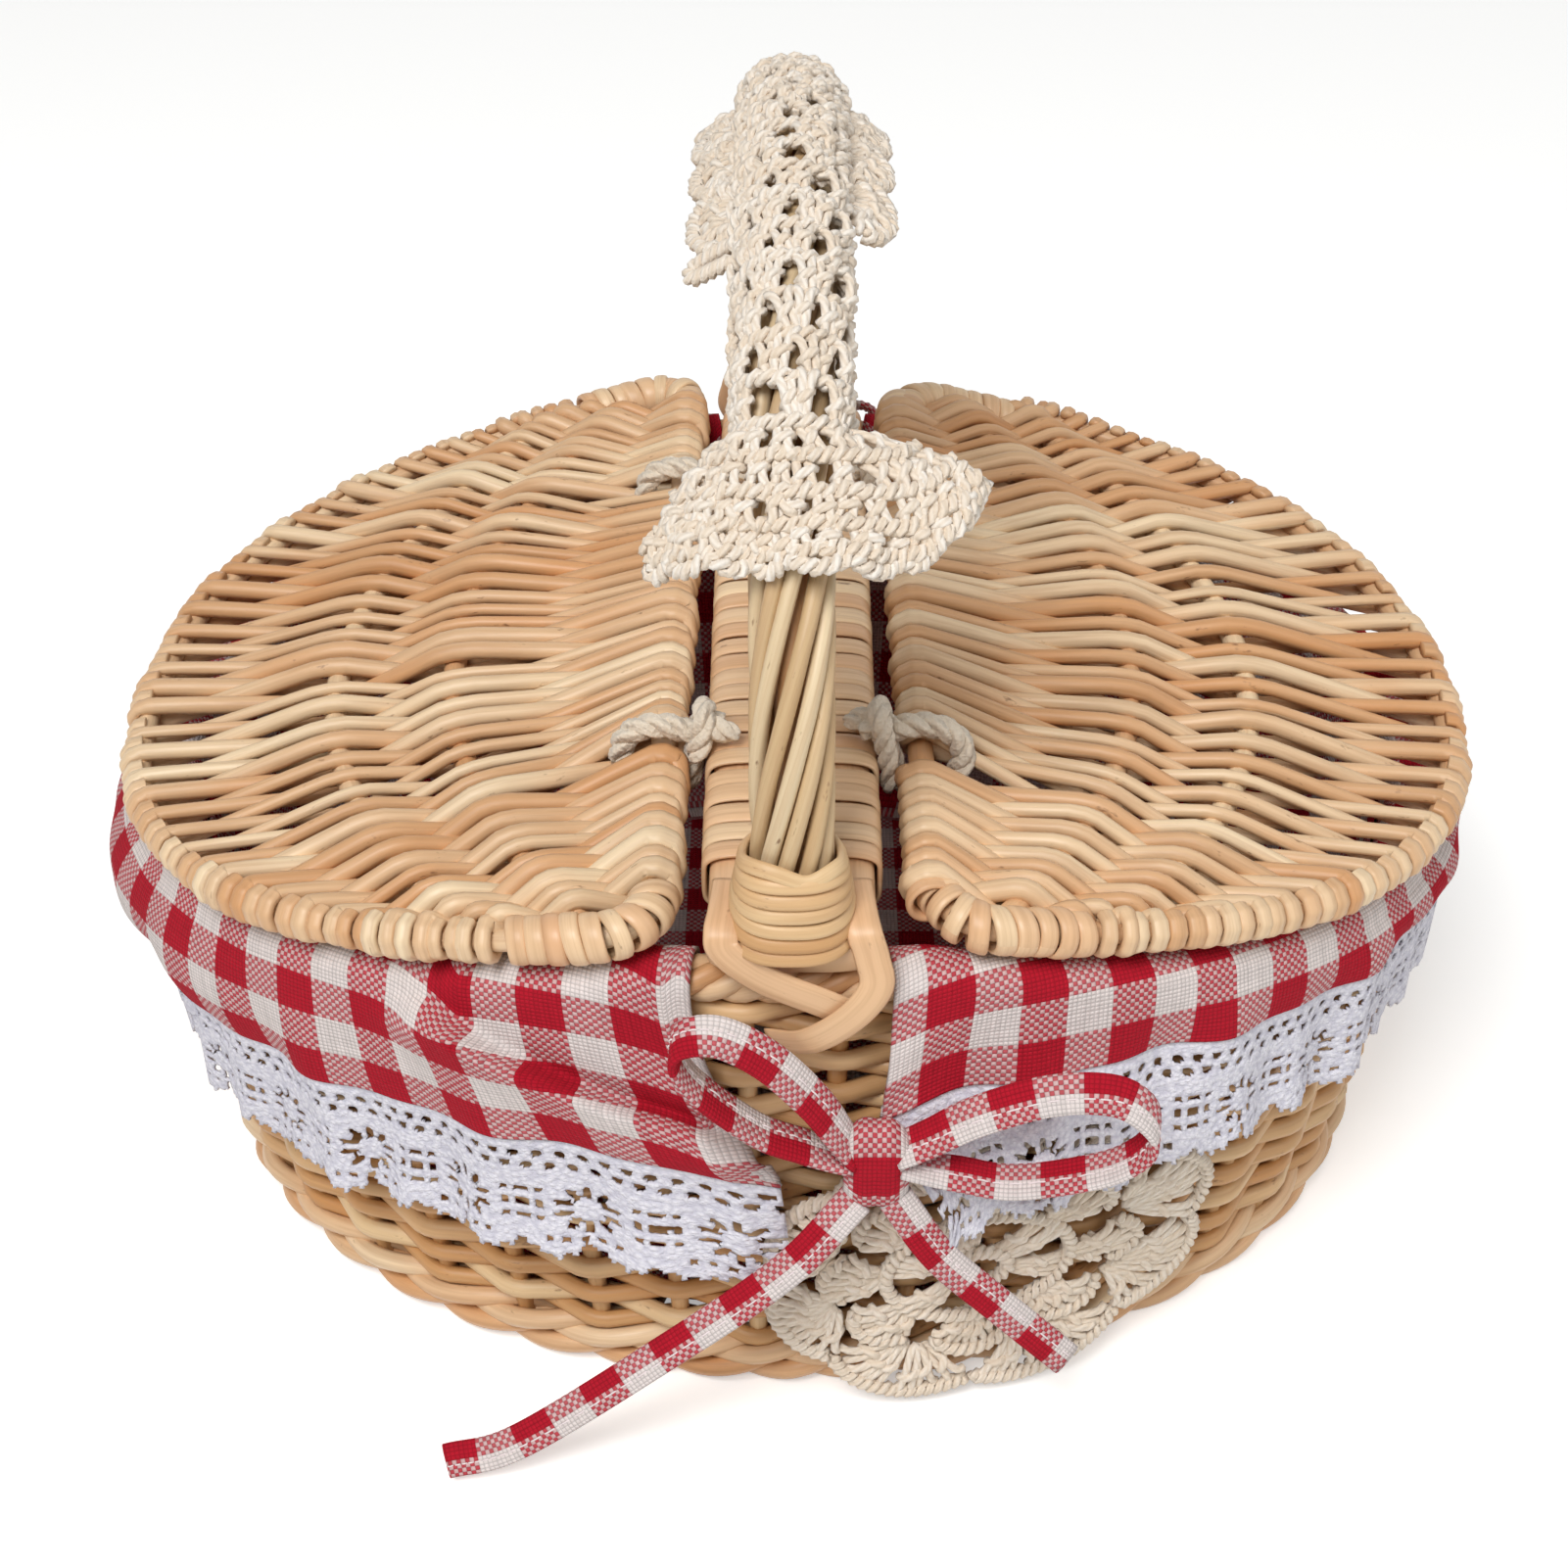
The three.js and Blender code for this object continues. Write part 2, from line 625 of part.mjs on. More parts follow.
function addLid(name, side) {
  const lid = new THREE.Group();
  lid.position.set(side * hingeX, 0, hingeZ);
  lid.rotation.set(0, LID_TILT, side > 0 ? 0 : Math.PI, "ZYX");

  const bow = lidBow();
  const cornerY = bow.at(-1)[1];
  const rodEnd = cornerY - LID_SCARF;
  const rod = [[0, rodEnd], [0, -rodEnd]];
  const bowRod = lidTube(bow, LID_ROD_D, 6, false);
  addMesh(lid, `${name}_bow`, bowRod, willow);
  addMesh(lid, `${name}_hinge_rod`, lidTube(rod, LID_ROD_D - SEAT, 6, false), willow);

  const ribStop = LID_ROD_D / 2 + RIB_STOP;
  ribs.forEach((rib, i) => {
    addMesh(lid, `${name}_rib_${i + 1}`, lidTube(ribLine(rib, ribStop), RIB_D, 6, false), willow);
  });

  const outline = new THREE.Shape(bow.map(([x, y]) => new THREE.Vector2(x, y)));
  const plate = new THREE.ExtrudeGeometry(outline, { depth: LID_WEAVE_T, bevelEnabled: false });
  plate.translate(0, 0, -LID_WEAVE_T / 2);
  let weave = solid(lidTube(bow, LID_EDGE_D, 6, true)).add(solid(plate));
  weave = weave.subtract(solid(lidTube(bow, LID_ROD_D + 2 * SEAT, 6, true)));
  for (const rib of ribs) {
    weave = weave.subtract(solid(lidTube(ribLine(rib, 0), RIB_D + 2 * SEAT, 6, false)));
  }
  for (const slot of weaveSlots()) {
    weave = weave.subtract(solid(slot));
  }
  for (const y of [-TIE_Y, TIE_Y]) {
    const slotR = tieRadius + ROPE_D / 2 + RUN;
    const slot = new THREE.CylinderGeometry(slotR, slotR, ROPE_D + 2 * RUN, 16);
    slot.translate(0, y, 0);
    weave = weave.subtract(solid(slot));
  }
  addMesh(lid, `${name}_weave`, meshOf(weave), willow);
  basket.add(lid);
}

// Cloth liner: a bag inside the body, and a cuff on each side turned out over the border.
function addLinerBag() {
  const outer = -WALL_T - SEAT;
  const floor = BASE_T + SEAT;
  const top = (rim) => rim - BORDER_H - SEAT;
  const rings = [
    bodyRing(outer, () => floor),
    bodyRing(outer, top),
    bodyRing(outer - CLOTH_T, top),
    bodyRing(outer - CLOTH_T, () => floor + CLOTH_T),
  ];
  addMesh(basket, "liner_bag", joinRings(rings, true), gingham);
}

// The turns of the body's own facets between the ends of the cuff on one side.
function sideTurns(side) {
  const start = Math.acos((CUFF_SPLIT / RIM_HALF_X) ** (RIM_POWER / 2));
  const step = (2 * Math.PI) / BODY_STEPS;
  const whole = Math.floor(start / step);
  const turns = [-start, ...steps(-whole * step, whole * step, 2 * whole), start];
  return side > 0 ? turns : turns.map((turn) => Math.PI + turn);
}

// The fall of the cuff from the rim, longer at the corners that are drawn to the bow.
function hemDrop(hand, turn) {
  const [x] = oval(RIM_HALF_X, RIM_HALF_Y, RIM_POWER, turn);
  const fromSplit = (Math.abs(x) - CUFF_SPLIT) / CUFF_CORNER_REACH;
  return CUFF_DROP[hand] + CUFF_CORNER_DROP[hand] * Math.exp(-fromSplit);
}

// How far the cuff stands out from the body at its lower edge, in soft folds.
function hemOut(turn) {
  const fold = CUFF_FOLD * (0.5 + 0.5 * Math.cos(CUFF_FOLDS * turn));
  return BORDER_W / 2 - WALL_T / 2 + SEAT + CUFF_FLARE + fold;
}

// One face of the cuff: up inside the border, over it and down outside to the hem.
function cuffFace(hand, turns, lift) {
  const halfW = BORDER_W / 2 + SEAT + lift;
  const halfH = BORDER_H / 2 + SEAT + lift;
  const over = [180, 130, 90, 50, 0].map((degrees) => {
    const turn = THREE.MathUtils.degToRad(degrees);
    return [-WALL_T / 2 + halfW * Math.cos(turn), -BORDER_H / 2 + halfH * Math.sin(turn)];
  });
  const [inner, outer] = [over[0][0], over.at(-1)[0]];
  const row = (out, drop) => turns.map((turn) => bodyPoint(turn, out, (rim) => rim + drop));
  const fall = [0.5, 1].map((share) =>
    turns.map((turn) => {
      const drop = mix(-BORDER_H / 2, -hemDrop(hand, turn), share);
      return bodyPoint(turn, mix(outer, hemOut(turn) + lift, share), (rim) => rim + drop);
    })
  );
  return [row(inner, -BORDER_H), ...over.map(([out, drop]) => row(out, drop)), ...fall];
}

// One face of the lace: from the hem down to its scalloped edge, a scallop to every facet.
function laceFace(hand, turns, lift) {
  const rowAt = (drop) =>
    turns.map((turn) =>
      bodyPoint(turn, hemOut(turn) + lift, (rim) => rim - hemDrop(hand, turn) - drop)
    );
  const withMiddles = (row, sag) =>
    row.flatMap((p, j) => {
      if (j === 0) return [p];
      const middle = row[j - 1].clone().lerp(p, 0.5).addScaledVector(upZ, -sag);
      return [middle, p];
    });
  return [withMiddles(rowAt(SEAT), 0), withMiddles(rowAt(LACE_DROP - LACE_SCALLOP_H), LACE_SCALLOP_H)];
}

function addCuff(hand, side) {
  const turns = sideTurns(side);
  const cuff = slab(cuffFace(hand, turns, CLOTH_T), cuffFace(hand, turns, 0));
  addMesh(basket, `liner_cuff_${hand}`, cuff, gingham);
  const trim = slab(laceFace(hand, turns, CLOTH_T), laceFace(hand, turns, 0));
  addMesh(basket, `lace_trim_${hand}`, trim, lace);
}

// Bow: a knot on the cuff, two loops and two tails of folded tape.
function tapeAlong(points, facing) {
  const curve = new THREE.CatmullRomCurve3(points);
  const path = curve.getSpacedPoints(points.length * 2);
  const hints = path.map((_, i) => facing(curve.getTangentAt(i / (path.length - 1))));
  return joinRings(sectionRings(stationsAlong(path, hints), flatSection(TAPE_W, TAPE_T)), true);
}

// A loop leaves the knot, opens to its full width and comes back beside where it began.
function loopPoints(from, reachDirection, openDirection, { reach, opening }) {
  const apart = TAPE_T;
  const outline = [
    [0, -apart],
    [LOOP_OPEN.from * reach, -opening / 2],
    [LOOP_OPEN.to * reach, -opening / 2],
    [reach, 0],
    [LOOP_OPEN.to * reach, opening / 2],
    [LOOP_OPEN.from * reach, opening / 2],
    [0, apart],
  ];
  return outline.map(([along, aside]) =>
    from.clone().addScaledVector(reachDirection, along).addScaledVector(openDirection, aside)
  );
}

const tailFacing = new THREE.Vector3(0, -0.8, 0.6);

function addBow(end, turned, leftTail, rightTail) {
  const group = new THREE.Group();
  group.rotation.z = turned;
  const { x: kx, y: ky, z: kz } = BOW_KNOT_HALF;
  const edge = sideTurns(1)[0];
  const hemY = bodyPoint(edge, hemOut(edge) + CLOTH_T, () => BOW_Z).y;
  const centre = new THREE.Vector3(BOW_X, hemY - ky, BOW_Z);
  const knot = [-1, -0.6, 0, 0.6, 1].map((part) => {
    const swell = 1 - BOW_KNOT_TAPER * part ** 2;
    return roundSection(2, 8).map(([a, b]) =>
      centre.clone().add(new THREE.Vector3(part * kx, a * ky * swell, b * kz * swell))
    );
  });
  addMesh(group, `bow_${end}_knot`, joinRings(knot, true), gingham);
  const hands = [["left", -1, BOW_LEFT, leftTail], ["right", 1, BOW_RIGHT, rightTail]];
  for (const [hand, side, loop, tail] of hands) {
    const rise = THREE.MathUtils.degToRad(loop.rise);
    const forward = wallLean + LOOP_LEAN;
    const reach = new THREE.Vector3(side * Math.cos(rise), -forward, Math.sin(rise)).normalize();
    const open = new THREE.Vector3(-side * Math.sin(rise), 0, Math.cos(rise));
    const across = new THREE.Vector3().crossVectors(reach, open);
    const clear = kx + SEAT + TAPE_T / 4 + 1.5 * TAPE_T * Math.sin(rise);
    const from = centre.clone().add(new THREE.Vector3(side * clear, LOOP_ROOT.y, LOOP_ROOT.z));
    const inPlane = (along) => new THREE.Vector3().crossVectors(along, across);
    const loopGeometry = tapeAlong(loopPoints(from, reach, open, loop), inPlane);
    addMesh(group, `bow_${end}_loop_${hand}`, loopGeometry, gingham);
    const places = tail.map(([x, y, z]) => centre.clone().add(new THREE.Vector3(x, y, z)));
    addMesh(group, `bow_${end}_tail_${hand}`, tapeAlong(places, () => tailFacing), gingham);
  }
  basket.add(group);
}

// Crochet motif hung on the front wall, with its upper part behind the lace.
function doilyRing(share, lift) {
  const petals = steps(0, 2 * Math.PI, 4 * DOILY_PETALS).slice(0, -1);
  return petals.map((turn) => {
    const cut = DOILY_SCALLOP * Math.abs(Math.cos((DOILY_PETALS * turn) / 2));
    const tall = Math.sin(turn) > 0 ? DOILY_ABOVE : DOILY_BELOW;
    const x = DOILY_X + share * (DOILY_HALF_X - cut) * Math.cos(turn);
    const z = DOILY_Z + share * (tall - cut) * Math.sin(turn);
    const wallTurn = -Math.acos(Math.sign(x) * Math.abs(x / RIM_HALF_X) ** (RIM_POWER / 2));
    const flare = DOILY_FLARE * Math.max(0, (DOILY_Z - z) / DOILY_BELOW) ** 2;
    return bodyPoint(wallTurn, UPSETT_PROUD + SEAT + lift + flare, () => z);
  });
}

function addDoily() {
  const shares = [1 / 3, 2 / 3, 1];
  const face = shares.map((share) => doilyRing(share, DOILY_T));
  const back = shares.map((share) => doilyRing(share, 0)).reverse();
  addMesh(basket, "crochet_doily", joinRings([...face, ...back], true), crochet);
}

// Crochet cover on the handle: a sleeve, a skirt at each end and a scalloped flap on each side.
const sleeveSides = 8;
const sleeveBore = (HANDLE_D / 2 + RUN) / Math.cos(Math.PI / sleeveSides);
const sleeveR = sleeveBore + COVER_T;

function addSleeve() {
  const frames = steps(COVER_START, 1 - COVER_START, 14).map(archFrame);
  const round = (frame, radius) =>
    roundSection(2 * radius, sleeveSides).map(([a, b]) => archPoint(frame, a, b));
  const outside = frames.map((frame) => round(frame, sleeveR));
  const inside = frames.map((frame) => round(frame, sleeveBore));
  addMesh(basket, "crochet_sleeve", joinRings([...outside, ...inside.reverse()], false), crochet);
}

function skirtFace(fromFront, lift) {
  const { left, right: wide } = fromFront ? SKIRT_FRONT : SKIRT_REAR;
  return steps(0, 1, 4).map((share) => {
    const down = COVER_START - (SEAT + SKIRT_LENGTH * share) / archLength;
    const frame = archFrame(fromFront ? down : 1 - down);
    const near = sleeveBore + lift;
    return steps(-1, 1, 8).map((part) => {
      const turn = part * mix(SKIRT_WRAP.top, SKIRT_WRAP.hem, share);
      const half = part < 0 ? left : wide;
      const spread = (half * Math.sin(turn)) / Math.sin(SKIRT_WRAP.hem);
      const right = mix(near * Math.sin(turn), spread, share);
      const outward = mix(near * Math.cos(turn), near + lift - SKIRT_DROOP * half * part ** 2, share);
      return archPoint(frame, right, outward);
    });
  });
}

function flapFace(side, lift) {
  const first = 0.5 - FLAP_LENGTH.front / archLength;
  const last = 0.5 + FLAP_LENGTH.rear / archLength;
  return steps(0, 1, 2).map((share) =>
    steps(first, last, 4 * FLAP_SCALLOPS).map((place, j) => {
      const scallop = mix(FLAP_NOTCH, 1, Math.abs(Math.sin((Math.PI * j) / 4)));
      const reach = FLAP_REACH * share * scallop;
      const right = side * (sleeveR + SEAT + FLAP_SLOPE.out * reach);
      return archPoint(archFrame(place), right, -FLAP_BELOW - FLAP_SLOPE.down * reach - lift);
    })
  );
}

function addCover() {
  addSleeve();
  for (const [end, fromFront] of [["front", true], ["rear", false]]) {
    const skirt = slab(skirtFace(fromFront, COVER_T), skirtFace(fromFront, 0));
    addMesh(basket, `crochet_skirt_${end}`, skirt, crochet);
  }
  for (const [hand, side] of [["left", -1], ["right", 1]]) {
    addMesh(basket, `crochet_flap_${hand}`, slab(flapFace(side, 0), flapFace(side, COVER_T)), crochet);
  }
}

addBody();
addBridge();
addHandle();
addCollars();
addLashing("front", 0);
addLashing("rear", Math.PI);
for (const [hand, side] of [["left", -1], ["right", 1]]) {
  addTie(`hinge_tie_${hand}_front`, side, side * -TIE_Y);
  addTie(`hinge_tie_${hand}_rear`, side, side * TIE_Y);
  addLid(`lid_${hand}`, side);
  addCuff(hand, side);
}
addLinerBag();
const shortLeft = TAIL_SHORT.map(([x, y, z]) => [-x, y, z]);
addBow("front", 0, TAIL_LONG, TAIL_SHORT);
addBow("rear", Math.PI, shortLeft, TAIL_SHORT);
addDoily();
addCover();

export default basket;
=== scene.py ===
"""A willow picnic basket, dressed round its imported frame: woven rods, splint bindings, rope hinges,
a gingham liner trimmed with lace and tied in a bow, and crocheted cotton trimmings.
Shapes are worked out in millimetres and put into the meshes in metres."""
import json

import bpy
import mathutils
import numpy as np
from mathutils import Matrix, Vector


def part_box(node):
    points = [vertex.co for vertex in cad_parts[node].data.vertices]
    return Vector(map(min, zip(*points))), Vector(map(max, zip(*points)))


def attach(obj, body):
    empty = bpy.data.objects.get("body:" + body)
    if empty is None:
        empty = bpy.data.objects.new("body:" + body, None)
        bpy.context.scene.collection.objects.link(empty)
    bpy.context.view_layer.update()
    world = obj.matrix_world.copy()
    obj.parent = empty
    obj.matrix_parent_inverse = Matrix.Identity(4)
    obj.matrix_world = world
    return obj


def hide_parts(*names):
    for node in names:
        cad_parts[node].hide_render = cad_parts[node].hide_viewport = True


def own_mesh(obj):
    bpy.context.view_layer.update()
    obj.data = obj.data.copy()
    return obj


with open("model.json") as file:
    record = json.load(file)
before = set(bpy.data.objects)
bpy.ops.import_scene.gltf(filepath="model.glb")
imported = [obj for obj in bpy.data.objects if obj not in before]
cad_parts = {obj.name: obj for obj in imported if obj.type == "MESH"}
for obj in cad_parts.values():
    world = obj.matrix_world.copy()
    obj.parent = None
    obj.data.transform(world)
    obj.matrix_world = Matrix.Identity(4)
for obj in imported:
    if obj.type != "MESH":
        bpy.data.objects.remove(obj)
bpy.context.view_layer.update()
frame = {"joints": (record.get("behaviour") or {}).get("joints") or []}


# Camera: a long lens a little over half a metre off, which looks down on the front of the basket from
# about 35 degrees. Its place and tilt were fitted to the lids, the rim and the base.
MM = 0.001
LENS = 61.57
CAMERA_AT = np.array([0.0, -560.1, 475.3])
CAMERA_TILT = np.radians(55.41)
LENS_SHIFT = (-0.0051, -0.0014)

camera_data = bpy.data.cameras.new("camera")
camera_data.lens = LENS
camera_data.shift_x, camera_data.shift_y = LENS_SHIFT
camera = bpy.data.objects.new("camera", camera_data)
camera.location = CAMERA_AT * MM
camera.rotation_euler = (CAMERA_TILT, 0, 0)
bpy.context.scene.collection.objects.link(camera)
bpy.context.scene.camera = camera


# Base mat: peeled willow rods woven round and round between sticks that run out from the middle.
# The rods pass over one stick and under the next, and each round takes the other way.
BASE_HALF = (146, 120)
BASE_POWER = 2.0
RIM_HALF = (158, 127.5)
RIM_POWER = 2.2
RIM_Z = 128.9
LID_TILT = np.radians(10)
WALL_T = 9
BODY_SWELL = 2.5
BASE_MIDDLE_Z = 4.2
BASE_ROUNDS = 19
BASE_STEPS = 144
BASE_STICKS = 24
BASE_ROD = (5.6, 3.4)
BASE_STICK_D = 3.4
BASE_STICK_FROM = 0.04
BASE_WAVE = 1.9
UPRIGHT = (0, 0, 1)
rng = np.random.default_rng(7)

hinges = {joint["child"]: np.array(joint["pos_m"]) / MM for joint in frame["joints"]}
HINGE_X, _, HINGE_Z = hinges["lid_right"]


def oval(half_x, half_y, power, turn):
    """A superellipse: each half size times the cosine or sine of the turn raised to 2 / power."""
    c, s = np.cos(turn), np.sin(turn)
    x = half_x * np.sign(c) * np.abs(c) ** (2 / power)
    y = half_y * np.sign(s) * np.abs(s) ** (2 / power)
    return x, y


def rim_height(turn):
    """The rim is level across the bridge and falls away from the hinges at the slope of the lids."""
    x, _ = oval(*RIM_HALF, RIM_POWER, turn)
    return RIM_Z - np.maximum(0, np.abs(x) - HINGE_X) * np.tan(LID_TILT)


def body_point(turn, out, z):
    """A point of the body so far out from its face: half sizes and power run evenly from base to rim,
    and the two sides swell a little halfway up."""
    turn, out, z = np.broadcast_arrays(turn, out, z)
    share = z / rim_height(turn)
    out = out + BODY_SWELL * np.cos(turn) ** 2 * np.sin(np.pi * np.clip(share, 0, 1))
    half_x = BASE_HALF[0] + share * (RIM_HALF[0] - BASE_HALF[0]) + out
    half_y = BASE_HALF[1] + share * (RIM_HALF[1] - BASE_HALF[1]) + out
    x, y = oval(half_x, half_y, BASE_POWER + share * (RIM_POWER - BASE_POWER), turn)
    return np.stack([x, y, z], axis=-1)


def walked_along(line):
    """The distance walked along a line of points, up to each of them."""
    return np.concatenate([[0], np.cumsum(np.linalg.norm(np.diff(line, axis=0), axis=1))])


def turn_at(share):
    """The turn at a share of the way round the body, measured along the rim."""
    turns = np.linspace(0, 2 * np.pi, 2001)
    walked = walked_along(np.stack(oval(*RIM_HALF, RIM_POWER, turns), -1))
    return np.interp(share, walked / walked[-1], turns)


def unit(vectors):
    """Vectors scaled to a length of one."""
    return vectors / np.maximum(np.linalg.norm(vectors, axis=-1, keepdims=True), 1e-9)


def all_round(count):
    """Turns in equal steps all the way round."""
    return 2 * np.pi * np.arange(count) / count


def ring(wide, tall, sides=8, power=2.0):
    """The outline of a section: a superellipse so wide and so tall, as points across and up."""
    x, y = oval(0.5, 0.5, power, all_round(sides))
    wide, tall = np.broadcast_arrays(wide, tall)
    return np.stack([wide[..., None] * x, tall[..., None] * y], axis=-1)


def sweep(paths, ups, section, closed=False, tones=None):
    """Many rods at once: each path carries the section along, square to it and with its top to the up
    direction. Ends are capped unless a path closes on itself. Gives points, quads, the place along
    and round the rod of every corner of a quad, and a tone for every point."""
    paths = np.asarray(paths, float)
    if closed:
        along = np.roll(paths, -1, 1) - np.roll(paths, 1, 1)
    else:
        along = np.gradient(paths, axis=1)
    along = unit(along)
    across = unit(np.cross(np.broadcast_to(ups, paths.shape), along))
    up = np.cross(along, across)
    section = np.asarray(section, float)
    if section.ndim == 2:
        section = section[None, None]
    points = paths[:, :, None] + section[..., :1] * across[:, :, None] + section[..., 1:] * up[:, :, None]
    rods, steps, sides = points.shape[:3]
    index = np.arange(rods * steps * sides).reshape(rods, steps, sides)
    near, far = (index, np.roll(index, -1, 1)) if closed else (index[:, :-1], index[:, 1:])
    quads = np.stack([near, np.roll(near, -1, 2), np.roll(far, -1, 2), far], -1).reshape(-1, 4)

    stretch = np.linalg.norm(np.diff(paths, axis=1, append=paths[:, :1]), axis=-1)
    walked = np.concatenate([np.zeros((rods, 1)), np.cumsum(stretch, axis=1)], axis=1)
    edges = np.linalg.norm(np.roll(section, -1, 2) - section, axis=-1).mean(axis=(0, 1))
    round_ = np.concatenate([[0], np.cumsum(edges)])
    start, end = walked[:, :near.shape[1]], walked[:, 1:near.shape[1] + 1]
    u = np.stack([start, start, end, end], -1)
    v = np.stack([round_[:-1], round_[1:], round_[1:], round_[:-1]], -1)
    corners = np.stack(np.broadcast_arrays(u[:, :, None], v[None, None]), -1).reshape(-1, 4, 2)

    if not closed:
        half = np.arange(sides // 2 - 1)
        cap = np.stack([half, half + 1, sides - 2 - half, sides - 1 - half], -1)
        caps = np.concatenate([index[:, 0][:, cap[:, ::-1]], index[:, -1][:, cap]]).reshape(-1, 4)
        quads = np.concatenate([quads, caps])
        corners = np.concatenate([corners, np.zeros((len(caps), 4, 2))])
    if tones is None:
        tones = rng.random(rods)
    tone = np.repeat(np.asarray(tones, float), steps * sides)
    return points.reshape(-1, 3), quads, corners, tone


def bend(knots, per_span, ease, closed=False):
    """Rods through knots: straight from knot to knot in equal steps, with every corner eased by
    averaging each point with its neighbours so many steps either way."""
    knots = np.asarray(knots, float)
    ends = np.roll(knots, -1, 1) if closed else knots[:, 1:]
    starts = knots if closed else knots[:, :-1]
    share = np.arange(per_span)[:, None] / per_span
    path = starts[:, :, None] * (1 - share) + ends[:, :, None] * share
    path = path.reshape(len(knots), -1, 3)
    if not closed:
        path = np.concatenate([path, knots[:, -1:]], axis=1)
    count = path.shape[1]
    total = np.zeros_like(path)
    for step in range(-ease, ease + 1):
        at = np.arange(count) + step
        total += path[:, at % count if closed else np.clip(at, 0, count - 1)]
    return total / (2 * ease + 1)


def gather(shapes):
    """Several shapes as one."""
    points, quads, corners, tones = zip(*shapes)
    starts = np.concatenate([[0], np.cumsum([len(p) for p in points])])
    quads = np.concatenate([q + start for q, start in zip(quads, starts)])
    return np.concatenate(points), quads, np.concatenate(corners), np.concatenate(tones)


def add_piece(name, shape, look, body="basket", replaces=()):
    """Puts a shape into a mesh, in metres, with its corners as a UV map and its tones as an attribute."""
    points, quads, corners, tones = shape
    mesh = bpy.data.meshes.new(name)
    mesh.vertices.add(len(points))
    mesh.vertices.foreach_set("co", (points * MM).astype(np.float32).ravel())
    mesh.loops.add(quads.size)
    mesh.loops.foreach_set("vertex_index", quads.astype(np.int32).ravel())
    mesh.polygons.add(len(quads))
    mesh.polygons.foreach_set("loop_start", np.arange(0, quads.size, 4, dtype=np.int32))
    mesh.update(calc_edges=True)
    mesh.polygons.foreach_set("use_smooth", np.ones(len(quads), bool))
    mesh.uv_layers.new(name="along").data.foreach_set("uv", (corners * MM).astype(np.float32).ravel())
    mesh.attributes.new("tone", "FLOAT", "POINT").data.foreach_set("value", tones.astype(np.float32))
    mesh.materials.append(look)
    piece = bpy.data.objects.new(name, mesh)
    bpy.context.scene.collection.objects.link(piece)
    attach(piece, body)
    if replaces:
        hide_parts(*replaces)
    return piece


def tint(code):
    """An sRGB hex colour as the linear colour that a shader takes."""
    srgb = np.array([int(code[i:i + 2], 16) for i in (1, 3, 5)]) / 255
    linear = np.where(srgb <= 0.04045, srgb / 12.92, ((srgb + 0.055) / 1.055) ** 2.4)
    return (*linear, 1.0)


def feed(node, inputs):
    """Gives a node its inputs, each of them a value or another node's output."""
    for name, value in inputs.items():
        if isinstance(value, bpy.types.NodeSocket):
            node.id_data.links.new(value, node.inputs[name])
        else:
            node.inputs[name].default_value = value


def add_node(look, kind, inputs=None, output=0, **settings):
    """Adds a node with its settings and its inputs, and gives one of its outputs."""
    made = look.node_tree.nodes.new("ShaderNode" + kind)
    for name, value in settings.items():
        setattr(made, name, value)
    feed(made, inputs or {})
    return made.outputs[output]


def new_look(name):
    """A material with its Principled shader, which the caller's nodes feed."""
    look = bpy.data.materials.new(name)
    look.use_nodes = True
    return look, look.node_tree.nodes["Principled BSDF"]


def along_and_round(look):
    """The two places on a piece's UV map: along it and round it."""
    place = add_node(look, "UVMap")
    return [add_node(look, "SeparateXYZ", {0: place}, axis) for axis in (0, 1)]


def willow_look(name, pale, middle, deep, streak_mm, gloss):
    """Peeled willow: a smooth, faintly shiny bark-less rod, paler or more orange from rod to rod, with
    long darker streaks along it and small brown bud scars."""
    look, shader = new_look(name)
    along, round_ = along_and_round(look)
    tone = add_node(look, "Attribute", output="Fac", attribute_name="tone")
    apart = add_node(look, "Math", {0: tone, 1: 61.0}, operation="MULTIPLY")

    def grain(long_mm, wide_mm, detail, roughness):
        """Noise with cells so long along the rod and so wide round it, different on every rod."""
        u = add_node(look, "Math", {0: along, 1: 1 / (long_mm * MM)}, operation="MULTIPLY")
        v = add_node(look, "Math", {0: round_, 1: 1 / (wide_mm * MM)}, operation="MULTIPLY")
        cell = add_node(look, "CombineXYZ", {0: u, 1: v, 2: apart})
        return add_node(look, "TexNoise", {
            "Vector": cell, "Scale": 1.0, "Detail": detail, "Roughness": roughness})

    streak = grain(streak_mm, 1.6, 4.0, 0.62)
    patch = grain(70, 30, 2.0, 0.5)
    scar = grain(7, 2.6, 3.0, 0.7)
    warmth = add_node(look, "MapRange", {"Value": patch, "From Min": 0.46, "From Max": 0.74, "To Max": 0.7})
    shade = add_node(look, "MapRange", {"Value": streak, "From Min": 0.42, "From Max": 0.75, "To Max": 0.42})
    scarred = add_node(look, "MapRange", {"Value": scar, "From Min": 0.665, "From Max": 0.76, "To Max": 0.75})
    rod = add_node(look, "MixRGB", {"Fac": tone, "Color1": tint(pale), "Color2": tint(middle)})
    warm = add_node(look, "MixRGB", {"Fac": warmth, "Color1": rod, "Color2": tint(deep)})
    streaked = add_node(look, "MixRGB", {"Fac": shade, "Color1": warm, "Color2": tint("#9C6B40")})
    skin = add_node(look, "MixRGB", {"Fac": scarred, "Color1": streaked, "Color2": tint("#6B4020")})
    sheen = add_node(look, "MapRange", {"Value": streak, "To Min": gloss - 0.1, "To Max": gloss + 0.18})
    bump = add_node(look, "Bump", {"Height": streak, "Strength": 0.35, "Distance": 0.25 * MM})
    feed(shader, {"Base Color": skin, "Roughness": sheen, "Normal": bump, "IOR": 1.47})
    return look


willow = willow_look("peeled_willow_rod", "#EBD4B0", "#CE9D6E", "#CE9058", 38, 0.41)

